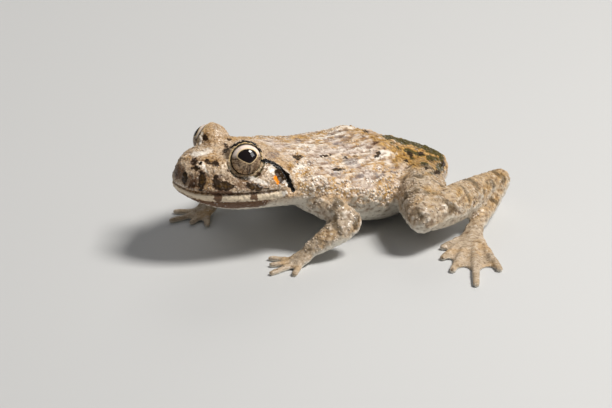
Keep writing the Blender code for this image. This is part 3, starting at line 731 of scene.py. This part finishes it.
def markJaw():
    above = up - mouthLevel(back)
    under = ease(0.15, -0.55, facingUp + 0.25 * field(3.0, 41)) * within("throatUp", up)
    jaw = ease(0.9, 0.2, np.abs(facingUp)) * within("jawBack", back)
    jawLow = ease(1.05, 0.55, np.abs(facingUp)) * within("jawLowBack", back)
    ragged = 0.5 * field(1.1, 45) + 0.5 * field(3.0, 46)
    # a brown band along the lower edge of the jaw: partly a brown marking of the skin, partly painted shade
    # under the jaw
    jawBandAndShade = jawLow * ease(-1.5, -2.1, above) * ease(-4.9, -3.3, above + ragged)
    lift("brown", jawBandAndShade * (0.9 + 0.15 * field(1.6, 44)))
    lift("brown", jaw * hill(up, mouthLevel(back) + 0.45, 0.4) * 0.4)
    masks["lip"] = jaw * ease(-0.1, -0.4, above) * ease(-2.1, -1.6, above)
    masks["under"] = under
    masks["dark"] = masks["dark"] * (1 - limb * within("rumpDarkAcross", photoSpots[:, 0]))
    halo = smoothed(masks["dark"][:, None], skinEdges, 5, (0.9,))[:, 0] * within("haloBack", back)
    lift("brown", np.minimum(halo * 1.5, 0.55))
    for name in ("line", "orange", "drum", "pale", "brown", "grey"):
        masks[name] = masks[name] * trunkOnly
    # painted shade: a dark line in the crease of the mouth
    lift("line", jaw * hill(up, mouthLevel(back), 0.2) * 0.55)


def markBody():
    topside = ease(-0.15, 0.35, facingUp) * within("topsideBack", back) * trunkOnly
    flank = ease(0.8, 0.45, facingUp) * ease(-0.5, -0.1, facingUp)
    flank = flank * within("flankBack", back) * within("flankUp", up) * trunkOnly
    aside = (photoSpots - np.array(regionPlan["shoulderMiddle"])) / np.array(regionPlan["shoulderHalf"])
    shoulder = hill(np.linalg.norm(aside, axis=1), 0.0, 1.0)
    masks["topside"] = topside * (1 - 0.7 * shoulder)
    masks["flank"] = np.maximum(flank * 0.75, shoulder * trunkOnly * within("shoulderBack", back))
    masks["ridge"] = ridges
    masks["bars"] = bars * limb
    spread = back + 5.0 * field(4.0, 47) + 3.0 * field(1.3, 48)
    rump = within("rumpBack", spread) * ease(-0.6, 0.3, facingUp + 0.3 * field(2.0, 50))
    rump = rump * (1 - 0.35 * limb) * within("rumpUp", up)
    lift("warm", rump * (0.66 - 0.4 * ease(0.2, -0.5, facingUp)))
    lift("olive", ease(0.15, 0.6, field(1.6, 65)) * rump * ease(0.5, 0.0, facingUp) * 0.55)
    thighs = limb * ease(0.2, 0.8, facingUp) * within("thighBack", back) * (1 - foot)
    lift("warm", thighs * (0.3 + 0.3 * field(2.5, 49)))
    masks["head"] = within("headBack", back) * trunkOnly * (1 - masks["under"])
    bare = np.maximum(np.maximum(masks["under"], masks["lip"]), within("soleUp", up))
    grainy = 0.3 + 0.7 * masks["flank"] + 0.15 * topside + 0.25 * limb * (1 - foot)
    masks["grainy"] = grainy * (1 - bare) * (1 - 0.8 * foot)
    # The crest mask is the curvature of the relief; the painted highlight on crests and the painted shade in
    # hollows follow it.
    curve = rise - smoothed(rise[:, None], skinEdges, 10, (0.8,))[:, 0]
    masks["crest"] = 0.5 + curve * 3.2
    masks["limb"] = limb


def markLids(side):
    local = inEye(frogPoints, side)
    out = np.hypot(local[:, 0], local[:, 1])
    masks["grainy"] *= 1 - ease(0.0, 0.6, local[:, 2]) * hill(np.maximum(out - 4.3, 0), 0, 0.3)
    ahead = ease(0.2, 0.9, local[:, 2]) * (local[:, 2] < 4.5)
    lower = ease(0.6, -1.4, local[:, 1])
    # painted shade: a dark olive band on the skin under the lower rim of the eye
    shadeBelowEye = ease(-1.6, -0.4, local[:, 2]) * hill(out, 4.25, 0.4) * lower * (0.7 + 0.4 * field(1.2, 43))
    lift("rim", ahead * hill(out, eyePlan["lidRing"], 0.17) * (1 - 0.5 * lower))
    # painted shade: a dark line in the gap where the lid meets the ball
    lift("line", ahead * ease(3.46, 3.36, out))
    lift("olive", shadeBelowEye * 0.9)


def finishMasks(mesh):
    markJaw()
    markBody()
    for side in sideNames.values():
        markLids(side)
    for name, values in masks.items():
        layer = mesh.attributes.new(name, "FLOAT", "POINT")
        layer.data.foreach_set("value", np.clip(values, 0, 1).astype(np.float32))


finishMasks(skinMesh)
print("skin marked")


# Shader and geometry helpers
class Wiring:
    def __init__(self, tree):
        self.tree = tree

    def add(self, kind, feeds=None, **values):
        node = self.tree.nodes.new(kind)
        for name, value in values.items():
            setattr(node, name, value)
        self.feed(node, feeds or {})
        return node

    def join(self, source, target):
        self.tree.links.new(source, target)

    def feed(self, node, feeds):  # links or sets inputs, by name or number
        for name, value in feeds.items():
            socket = node.inputs[name]
            if isinstance(value, bpy.types.NodeSocket):
                self.join(value, socket)
            elif isinstance(value, tuple) and socket.type == "RGBA":
                socket.default_value = (*value, 1)
            else:
                socket.default_value = value

    def maths(self, operation, *values, clamp=False):
        feeds = dict(enumerate(values))
        return self.add("ShaderNodeMath", feeds, operation=operation, use_clamp=clamp).outputs[0]

    def times(self, first, *others):
        for other in others:
            first = self.maths("MULTIPLY", first, other)
        return first

    def mix(self, share, first, second, blend="MIX"):
        feeds = {0: share, 6: first, 7: second}
        return self.add("ShaderNodeMix", feeds, data_type="RGBA", blend_type=blend).outputs[2]

    def ranged(self, *values):  # a value, its low and high, and what they become: 0 and 1 unless given
        feeds = dict(enumerate(values))
        return self.add("ShaderNodeMapRange", feeds, interpolation_type="SMOOTHSTEP").outputs[0]

    def vectors(self, operation, first, second):
        return self.add("ShaderNodeVectorMath", {0: first, 1: second}, operation=operation).outputs[0]

    def cellEdge(self, spot, scale):  # 0 on the lines of a net of cells
        feeds = {"Vector": spot, "Scale": scale}
        return self.add("ShaderNodeTexVoronoi", feeds, feature="DISTANCE_TO_EDGE").outputs["Distance"]

    def mask(self, name):
        return self.add("ShaderNodeAttribute", attribute_name=name).outputs["Fac"]

    def noiseOf(self, spot, scale, detail, rough, seed):
        feeds = {"Vector": spot, "W": seed, "Scale": scale, "Detail": detail, "Roughness": rough}
        return self.add("ShaderNodeTexNoise", feeds, noise_dimensions="4D").outputs["Fac"]

    def bumped(self, shader, height, strength, distance):
        feeds = {"Strength": strength, "Distance": distance, "Height": height}
        self.join(self.add("ShaderNodeBump", feeds).outputs["Normal"], shader.inputs["Normal"])


def newGroup(name, inputs, outputs):
    tree = bpy.data.node_groups.new(name, "ShaderNodeTree")
    for label, kind, value in inputs:
        socket = tree.interface.new_socket(label, in_out="INPUT", socket_type="NodeSocket" + kind)
        socket.default_value = value
    for label, kind in outputs:
        tree.interface.new_socket(label, in_out="OUTPUT", socket_type="NodeSocket" + kind)
    wiring = Wiring(tree)
    return wiring, wiring.add("NodeGroupInput").outputs, wiring.add("NodeGroupOutput").inputs


def makeWetGrain():  # fine grain of wet skin: a height, and a mottle for colour
    inputs = [("Place", "Vector", (0, 0, 0)), ("Grain", "Float", 2200.0), ("Pebble", "Float", 1300.0)]
    wiring, source, target = newGroup("wetGrain", inputs, [("Height", "Float"), ("Mottle", "Float")])
    feeds = {"Vector": source["Place"], "Scale": source["Pebble"], "Smoothness": 0.6}
    cells = wiring.add("ShaderNodeTexVoronoi", feeds, feature="SMOOTH_F1")
    feeds = {"Vector": source["Place"], "Scale": source["Grain"], "Detail": 4.0}
    fine = wiring.add("ShaderNodeTexNoise", feeds).outputs["Fac"]
    pebble = wiring.ranged(cells.outputs["Distance"], 0.1, 0.7, 1.0, 0.0)
    height = wiring.maths("MULTIPLY_ADD", pebble, 0.7, wiring.times(fine, 0.5))
    wiring.join(height, target["Height"])
    wiring.join(wiring.maths("ADD", wiring.times(fine, 0.6), wiring.times(pebble, 0.4)), target["Mottle"])
    return wiring.tree


wetGrain = makeWetGrain()


def newMaterial(name):
    made = bpy.data.materials.new(name)
    made.use_nodes = True
    return made, Wiring(made.node_tree), made.node_tree.nodes["Principled BSDF"]


frogColours = {
    "tan": (0.37, 0.266, 0.182),
    "light": (0.60, 0.49, 0.40),
    "shade": (0.115, 0.066, 0.034),
    "dark": (0.022, 0.011, 0.004),
    "brown": (0.112, 0.047, 0.018),
    "grey": (0.15, 0.13, 0.14),
    "lilac": (0.47, 0.38, 0.355),
    "pale": (0.90, 0.84, 0.76),
    "gold": (0.52, 0.30, 0.095),
    "warm": (0.30, 0.155, 0.020),
    "ochre": (0.63, 0.365, 0.085),
    "olive": (0.030, 0.034, 0.004),
    "core": (0.12, 0.062, 0.012),
    "bars": (0.085, 0.060, 0.030),
    "orange": (0.90, 0.29, 0.004),
    "drum": (0.045, 0.023, 0.007),
    "line": (0.006, 0.005, 0.004),
    "lip": (0.78, 0.65, 0.48),
    "rim": (0.68, 0.50, 0.25),
    "under": (0.76, 0.71, 0.61),
    "limb": (0.45, 0.36, 0.25),
}
# The second of these colours darkens the hollows of the relief: painted shade.
tintColours = {"headTint": (1.04, 0.94, 0.73), "hollowTint": (0.36, 0.27, 0.20)}  # these multiply
noisePlan = {  # scale, detail, roughness and seed
    "blotch": (420.0, 4.0, 0.62, 1.0),
    "patch": (190.0, 2.0, 0.5, 2.0),
    "speck": (1300.0, 4.0, 0.7, 5.0),
    "fine": (2300.0, 3.0, 0.65, 9.0),
    "streak": (620.0, 3.0, 0.6, 8.0),
    "edge": (1700.0, 4.0, 0.7, 3.0),
}
netPlan = {
    "net": 1250.0,
    "longNet": 950.0,
    "stretch": (1.0, 0.26, 1.0),
    "bendScale": 900.0,
    "bendReach": (0.0011, 0.0011, 0.0011),
    "edgeReach": 0.9,  # how broken the edges of markings are
}
skinFinish = {
    "roughness": (0.6, 0.34),  # over the mottle of the grain
    "coat": 0.28,
    "granuleCoat": -0.2,  # what a granule adds to the coat
    "coatRoughness": 0.17,
    "gloss": 0.1,
    "bump": (0.6, 0.0002),
}
mixedPaints = {  # one colour going over into another, where a noise or mask goes from low to high
    "hide": ("tan", "light", 1.0, ("blotch", 0.38, 0.62)),
    "netPaint": ("gold", "shade", 1.0, ("speck", 0.5, 0.64)),
    "ground": ("ochre", "shade", 1.0, ("speck", 0.59, 0.72)),
    "seam": ("lilac", "pale", 1.0, ("streak", 0.5, 0.6)),
    "warmPaint": ("ochre", "warm", 1.0, ("speck", 0.37, 0.54)),
    "underPaint": ("under", "shade", 0.4, ("blotch", 0.56, 0.68)),
    "darkPaint": ("dark", "core", 0.7, ("dark", 0.85, 1.15, 0.8)),
    "granulePaint": ("pale", "lilac", 0.35, ("patch", 0.45, 0.6)),
}
skinLayers = [  # paint, strength and what it keeps to; a fourth number breaks the edge
    ("limb", 0.6, "limb"),
    ("gold", 0.4, ("patch", 0.5, 0.66)),
    ("pale", 0.5, ("streak", 0.55, 0.68), "topside"),
    ("gold", 0.85, ("longNet", 0.15, 0.03), ("patch", 0.34, 0.56), "topside"),
    ("grey", 0.55, ("streak", 0.45, 0.36), "topside"),
    ("pale", 0.9, ("net", 0.1, 0.26), "flank"),
    ("netPaint", 0.75, ("net", 0.15, 0.03), "flank"),
    ("seam", 0.45, ("patch", 0.62, 0.44), "topside"),
    ("ground", 0.62, ("speck", 0.42, 0.54), "flank"),
    ("shade", 1.0, ("speck", 0.54, 0.66), "speckShare"),
    ("pale", 0.55, ("speck", 0.43, 0.32)),
    ("shade", 0.6, ("fine", 0.5, 0.64), "head"),
    ("pale", 0.4, ("fine", 0.46, 0.34), "head"),
    ("headTint", 0.6, "head"),
    ("pale", 0.4, "ridge"),
    # painted highlight: the crests of the relief made paler
    ("pale", 0.4, ("crest", 0.55, 0.95)),
    ("warmPaint", 0.88, ("warm", 0.1, 0.9, 0.8)),
    ("olive", 0.88, ("olive", 0.35, 0.55, 1.0)),
    ("grey", 0.6, ("grey", 0.35, 0.55, 1.0)),
    ("pale", 0.8, ("pale", 0.3, 0.7, 1.0)),
    ("bars", 0.72, ("bars", 0.3, 0.75, 1.0)),
    ("lip", 0.9, ("lip", 0.3, 0.6, 1.0)),
    ("underPaint", 1.0, "under"),
    ("brown", 0.92, ("brown", 0.28, 0.72, 1.0)),
    ("darkPaint", 0.96, ("dark", 0.31, 0.62, 1.0)),
    # painted shadow of the fold over the eardrum
    ("drum", 1.0, ("drum", 0.3, 0.6, 1.0)),
    ("orange", 1.0, ("orange", 0.3, 0.6, 1.0)),
    ("rim", 1.0, "rim"),
    ("line", 1.0, ("line", 0.3, 0.5, 1.0)),
    ("granulePaint", 1.0, "granule", "granuleShare"),
    # painted shade: the hollows of the relief made darker
    ("hollowTint", 0.7, ("crest", 0.5, 0.1)),
]


def skinSources(wiring, spot):  # the noises, nets and shares that the layers follow
    bend = wiring.add("ShaderNodeTexNoise", {"Vector": spot, "Scale": netPlan["bendScale"]}).outputs["Color"]
    bent = wiring.vectors("MULTIPLY", wiring.vectors("SUBTRACT", bend, (0.5, 0.5, 0.5)), netPlan["bendReach"])
    bent = wiring.vectors("ADD", spot, bent)
    longWays = wiring.vectors("MULTIPLY", bent, netPlan["stretch"])
    sources = {name: wiring.mask(name) for name in [*masks, "granule"] if name != "grainy"}
    sources["net"] = wiring.cellEdge(bent, netPlan["net"])
    sources["longNet"] = wiring.cellEdge(longWays, netPlan["longNet"])
    for name, values in noisePlan.items():
        sources[name] = wiring.noiseOf(longWays if name == "streak" else spot, *values)
    sources["edge"] = wiring.times(wiring.maths("SUBTRACT", sources["edge"], 0.5), netPlan["edgeReach"])
    clear = wiring.times(wiring.maths("MULTIPLY_ADD", sources["flank"], 0.7, sources["topside"]), 0.45)
    sources["speckShare"] = wiring.maths("SUBTRACT", 0.8, clear)
    marked = wiring.maths("MAXIMUM", sources["dark"], sources["line"])
    bare = wiring.times(
        wiring.maths("SUBTRACT", 1.0, marked, clamp=True),
        wiring.maths("MULTIPLY_ADD", sources["warm"], -0.75, 1.0),
    )
    share = wiring.maths("MULTIPLY_ADD", sources["limb"], -0.1, 0.28)
    sources["granuleShare"] = wiring.times(wiring.maths("MULTIPLY_ADD", sources["flank"], 0.6, share), bare)
    return sources


def makeSkinMaterial():
    made, wiring, shader = newMaterial("frogSkin")
    spot = wiring.add("ShaderNodeTexCoord").outputs["Object"]
    grain = wiring.add("ShaderNodeGroup", node_tree=wetGrain)
    wiring.feed(grain, {"Place": spot})
    sources = skinSources(wiring, spot)

    def shareOf(strength, factors):
        parts = []
        for factor in factors:
            if isinstance(factor, str):
                parts.append(sources[factor])
                continue
            name, low, high, *broken = factor
            value = sources[name]
            if broken:
                value = wiring.maths("MULTIPLY_ADD", sources["edge"], broken[0], value)
            parts.append(wiring.ranged(value, low, high))
        return wiring.times(*parts, strength)

    paints = {**frogColours, **tintColours}
    for name, (first, second, strength, factor) in mixedPaints.items():
        paints[name] = wiring.mix(shareOf(strength, [factor]), paints[first], paints[second])
    colour = paints["hide"]
    for paint, strength, *factors in skinLayers:
        blend = "MULTIPLY" if paint in tintColours else "MIX"
        colour = wiring.mix(shareOf(strength, factors), colour, paints[paint], blend)
    finish = skinFinish
    coat = wiring.maths("MULTIPLY_ADD", sources["granule"], finish["granuleCoat"], finish["coat"])
    wiring.feed(shader, {
        "Base Color": colour,
        "Roughness": wiring.ranged(grain.outputs["Mottle"], 0.2, 0.8, *finish["roughness"]),
        "Coat Weight": coat,
        "Coat Roughness": finish["coatRoughness"],
        "Specular IOR Level": finish["gloss"],
    })
    wiring.bumped(shader, grain.outputs["Height"], *finish["bump"])
    return made


def addPiece(name, mesh, slot, *nodes):
    mesh.polygons.foreach_set("use_smooth", [True] * len(mesh.polygons))
    piece = placed(name, mesh)
    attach(piece, "root")
    if nodes:
        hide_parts(*nodes)


skinMaterial = makeSkinMaterial()
skinMesh.materials.clear()
skinMesh.materials.append(skinMaterial)
addPiece("skin", skinMesh, "skin_tan", *fleshNames)
print("skin painted")


# Granules: small raised grains all over the back, flanks and legs
granulePlan = {
    "Spacing": 0.56 * mm,
    "Crowding": 6.0e6,  # most grains on a square metre
    "Size": 0.28 * mm,
    "Size Spread": 0.55,
    "Flatness": 0.5,
    "Seed": 7,
}


def makeGranuleTree():
    tree = bpy.data.node_groups.new("granules", "GeometryNodeTree")
    newSocket = tree.interface.new_socket
    newSocket("Geometry", in_out="INPUT", socket_type="NodeSocketGeometry")
    newSocket("Geometry", in_out="OUTPUT", socket_type="NodeSocketGeometry")
    for label in granulePlan:
        kind = "NodeSocketInt" if label == "Seed" else "NodeSocketFloat"
        newSocket(label, in_out="INPUT", socket_type=kind)
    newSocket("Finish", in_out="INPUT", socket_type="NodeSocketMaterial")
    wiring = Wiring(tree)
    source = wiring.add("NodeGroupInput").outputs
    target = wiring.add("NodeGroupOutput").inputs

    grainy = wiring.add("GeometryNodeInputNamedAttribute", {"Name": "grainy"}, data_type="FLOAT")
    grainy = grainy.outputs["Attribute"]
    feeds = {
        "Mesh": source["Geometry"],
        "Distance Min": source["Spacing"],
        "Density Max": source["Crowding"],
        "Density Factor": grainy,
        "Seed": source["Seed"],
    }
    scatter = wiring.add("GeometryNodeDistributePointsOnFaces", feeds, distribute_method="POISSON").outputs
    least = wiring.maths("SUBTRACT", 1.0, source["Size Spread"])
    most = wiring.maths("ADD", 1.0, source["Size Spread"])
    feeds = {2: least, 3: most, "Seed": source["Seed"]}
    chance = wiring.add("FunctionNodeRandomValue", feeds, data_type="FLOAT").outputs[1]
    size = wiring.times(chance, source["Size"], wiring.maths("MULTIPLY_ADD", grainy, 0.7, 0.45))
    feeds = {0: size, 1: size, 2: wiring.times(size, source["Flatness"])}
    scale = wiring.add("ShaderNodeCombineXYZ", feeds).outputs[0]
    ball = wiring.add("GeometryNodeMeshIcoSphere", {"Radius": 1.0, "Subdivisions": 1}).outputs["Mesh"]
    feeds = {"Points": scatter["Points"], "Instance": ball, "Rotation": scatter["Rotation"], "Scale": scale}
    grains = wiring.add("GeometryNodeInstanceOnPoints", feeds).outputs["Instances"]

    made = wiring.add("GeometryNodeRealizeInstances", {"Geometry": grains}).outputs["Geometry"]
    feeds = {"Geometry": made, "Name": "granule", "Value": 1.0}
    named = wiring.add("GeometryNodeStoreNamedAttribute", feeds, data_type="FLOAT", domain="POINT")
    feeds = {"Geometry": named.outputs["Geometry"], "Material": source["Finish"]}
    wiring.join(wiring.add("GeometryNodeSetMaterial", feeds).outputs["Geometry"], target["Geometry"])
    return tree


def makeGranules():
    carrier = placed("granuleBase", skinMesh.copy())
    modifier = carrier.modifiers.new("granules", "NODES")
    modifier.node_group = makeGranuleTree()
    values = {**granulePlan, "Finish": skinMaterial}
    for item in modifier.node_group.interface.items_tree:
        if item.in_out == "INPUT" and item.name in values:
            modifier[item.identifier] = values[item.name]
    grains = evaluatedMesh(carrier)
    carrier.modifiers.remove(modifier)
    base = carrier.data
    bpy.data.objects.remove(carrier)
    bpy.data.meshes.remove(base)
    return grains


granuleMesh = makeGranules()
addPiece("granules", granuleMesh, "skin_tan")
print("granules set", len(granuleMesh.polygons))


# Eyes: a ball each, with the pupil and iris drawn in the eye's own directions
irisPlan = {
    "pupilMiddle": (0.06, 0.9),
    "farEyeBack": -0.45,  # the far eye looks a little further forward
    "pupilHalf": 2.12,
    "pupilTop": 1.55,
    "pupilDrop": 1.45,
    "notchShift": 0.28,
    "powerBelow": 1.25,
    "seamAcross": 0.36,
    "edge": (3.1, 3.36),
    "fibre": (1.3, 4.0, 0.65, 2.0),
    "fibreTurns": (5.0, 5.0, 5.0),
    "fibreReach": 0.7,
    "cloud": (1.1, 3.0, 0.6, 6.0),
    "coatRoughness": 0.03,
    "coatIndex": 1.34,
    "bump": (0.25, 0.00012),
}
eyeColours = {
    "pupil": (0.012, 0.008, 0.009),
    "rim": (0.80, 0.60, 0.33),
    "upper": (0.90, 0.755, 0.66),
    "upperVein": (0.50, 0.33, 0.20),
    "lower": (0.165, 0.100, 0.055),
    "lowerLight": (0.56, 0.40, 0.25),
    "vein": (0.026, 0.013, 0.006),
    "edge": (0.02, 0.014, 0.009),
}


def ballShape(side):  # points in the eye's own directions, and faces between the rings
    rows, count = eyePlan["rings"], eyePlan["sides"]
    polar = math.pi * (np.linspace(0, 1, rows + 1)[1:-1]) ** 1.5  # rings close together at the front
    turns = np.linspace(0, 2 * math.pi, count, endpoint=False)
    ring = [(math.sin(p) * math.cos(t), math.sin(p) * math.sin(t), math.cos(p)) for p in polar for t in turns]
    local = np.array([(0, 0, 1), *ring, (0, 0, -1)]) * eyePlan["radius"]
    faces = []
    for k in range(count):
        after = (k + 1) % count
        faces.append((0, 1 + k, 1 + after))
        for i in range(rows - 2):
            low = 1 + i * count
            faces.append((low + k, low + count + k, low + count + after, low + after))
        low = 1 + (rows - 2) * count
        faces.append((low + k, len(local) - 1, low + after))
    return local, faces if side > 0 else [face[::-1] for face in faces]


def pupilGap(local, side):  # 0 on the edge of the pupil, and more outside
    middleX, middleY = irisPlan["pupilMiddle"]
    middleX += irisPlan["farEyeBack"] * (side < 0)
    lower = np.maximum(middleY - local[:, 1], 0) / irisPlan["pupilDrop"]
    notch = irisPlan["notchShift"] * np.minimum(lower, 1.5)
    aside = np.abs(local[:, 0] - middleX - notch) / irisPlan["pupilHalf"]
    above = np.maximum(local[:, 1] - middleY, 0) / irisPlan["pupilTop"]
    power = irisPlan["powerBelow"]
    gap = np.where(lower > 0, (aside**power + lower**power) ** (1 / power), np.sqrt(aside**2 + above**2)) - 1
    return gap * 1.6 + np.where(local[:, 2] < 0, 5, 0)


def eyeMesh(side):
    rear, upward, ahead = (np.array(axis) for axis in eyeAxes(side))
    local, faces = ballShape(side)
    points = local @ np.stack([rear, upward, ahead]) + np.array(eyeMiddle(side)) + ahead * eyePlan["bulge"]
    mesh = bpy.data.meshes.new("eyeBall")
    mesh.from_pydata((points * mm + np.array([midline, snoutTip, 0])).tolist(), [], faces)
    layer = mesh.attributes.new("pupilGap", "FLOAT", "POINT")
    layer.data.foreach_set("value", pupilGap(local, side).astype(np.float32))
    layer = mesh.attributes.new("eyePlace", "FLOAT_VECTOR", "POINT")
    layer.data.foreach_set("vector", local.astype(np.float32).reshape(-1))
    return mesh


def makeEyeMaterial():
    made, wiring, shader = newMaterial("frogEye")
    colours, maths, ranged, times = eyeColours, wiring.maths, wiring.ranged, wiring.times
    local = wiring.add("ShaderNodeAttribute", attribute_name="eyePlace").outputs["Vector"]
    parts = wiring.add("ShaderNodeSeparateXYZ", {0: local}).outputs
    gap = wiring.mask("pupilGap")
    flat = wiring.add("ShaderNodeCombineXYZ", {0: parts["X"], 1: parts["Y"]}).outputs[0]
    out = wiring.add("ShaderNodeVectorMath", {0: flat}, operation="LENGTH").outputs["Value"]
    around = wiring.add("ShaderNodeVectorMath", {0: flat}, operation="NORMALIZE").outputs[0]
    around = wiring.vectors("MULTIPLY", around, irisPlan["fibreTurns"])
    ray = wiring.add("ShaderNodeCombineXYZ", {2: times(out, irisPlan["fibreReach"])}).outputs[0]
    fibre = wiring.noiseOf(wiring.vectors("ADD", around, ray), *irisPlan["fibre"])
    cloud = wiring.noiseOf(local, *irisPlan["cloud"])
    lower = wiring.mix(ranged(fibre, 0.40, 0.60), colours["lower"], colours["lowerLight"])
    lower = wiring.mix(ranged(cloud, 0.5, 0.68, 0.0, 0.8), lower, colours["vein"])
    upper = wiring.mix(ranged(fibre, 0.52, 0.68, 0.0, 0.6), colours["upper"], colours["upperVein"])
    share = ranged(maths("ADD", parts["Y"], times(fibre, 0.7)), 0.75, 1.85)
    colour = wiring.mix(share, lower, upper)
    seam = maths("ABSOLUTE", maths("SUBTRACT", parts["X"], irisPlan["seamAcross"]))
    seam = times(ranged(seam, 0.07, 0.2, 1.0, 0.0), ranged(parts["Y"], -0.5, -0.8), 0.85)
    colour = wiring.mix(seam, colour, colours["vein"])
    rimShare = ranged(maths("ADD", gap, times(fibre, 0.12)), 0.20, 0.34, 1.0, 0.0)
    colour = wiring.mix(times(rimShare, 0.9), colour, colours["rim"])
    colour = wiring.mix(ranged(gap, 0.0, 0.07, 1.0, 0.0), colour, colours["pupil"])
    colour = wiring.mix(ranged(out, *irisPlan["edge"]), colour, colours["edge"])
    wiring.feed(shader, {
        "Base Color": colour,
        "Roughness": 0.4,
        "Specular IOR Level": 0.0,
        "Coat Weight": 1.0,
        "Coat Roughness": irisPlan["coatRoughness"],
        "Coat IOR": irisPlan["coatIndex"],
    })
    wiring.bumped(shader, fibre, *irisPlan["bump"])
    return made


eyeMaterial = makeEyeMaterial()
for sideName, side in sideNames.items():
    ballMesh = eyeMesh(side)
    ballMesh.materials.append(eyeMaterial)
    addPiece("eyeball_" + sideName, ballMesh, "eye_gold", "eye_" + sideName)
print("eyes ready")


# Floor and light
stagePlan = {
    "floorHalf": 1.5,
    "floor": (0.56, 0.57, 0.58),
    "world": (0.90, 0.91, 0.93),
    "worldStrength": 0.16,
    "lit": (0, 30, 12),  # what the lights are turned to, on the frog
}
lightPlan = {  # direction in the camera's right, up and back, distance, size, power and colour
    "key": ((0.54, 0.73, 0.42), 0.75, 0.21, 6.9, (1.0, 0.96, 0.90)),
    "glint": ((0.783, 0.404, 0.476), 0.8, 0.34, 3.4, (0.95, 0.97, 1.0)),
    "fill": ((-0.7, 0.35, 0.6), 0.9, 0.7, 0.45, (0.92, 0.95, 1.0)),
    "rim": ((0.1, 0.75, -0.65), 0.8, 0.4, 1.5, (1.0, 0.95, 0.88)),
}


def makeFloor():
    shape = bmesh.new()
    bmesh.ops.create_grid(shape, x_segments=1, y_segments=1, size=stagePlan["floorHalf"])
    mesh = bpy.data.meshes.new("floor")
    shape.to_mesh(mesh)
    shape.free()
    made, wiring, shader = newMaterial("paleFloor")
    wiring.feed(shader, {"Base Color": stagePlan["floor"], "Roughness": 0.65})
    mesh.materials.append(made)
    placed("floor", mesh)


def addLight(name, heading, distance, size, power, colour):
    data = bpy.data.lights.new(name, "AREA")
    data.size = size
    data.energy = power
    data.color = colour
    lamp = placed(name, data)
    towards = (viewRight * heading[0] + viewUp * heading[1] + viewBack * heading[2]).normalized()
    lamp.location = place(*stagePlan["lit"]) + towards * distance
    lamp.rotation_euler = towards.to_track_quat("Z", "Y").to_euler()
    lamp.visible_glossy = name in ("key", "glint")  # the others would lay a white haze over the wet skin
    lamp.visible_diffuse = name != "glint"  # a soft window for the eyes and the wet gloss alone


makeFloor()
for name, values in lightPlan.items():
    addLight(name, *values)
world = bpy.data.worlds.new("world")
world.use_nodes = True
background = world.node_tree.nodes["Background"]
background.inputs["Color"].default_value = (*stagePlan["world"], 1)
background.inputs["Strength"].default_value = stagePlan["worldStrength"]
bpy.context.scene.world = world
bpy.context.scene.view_settings.view_transform = "Standard"
print("stage ready")
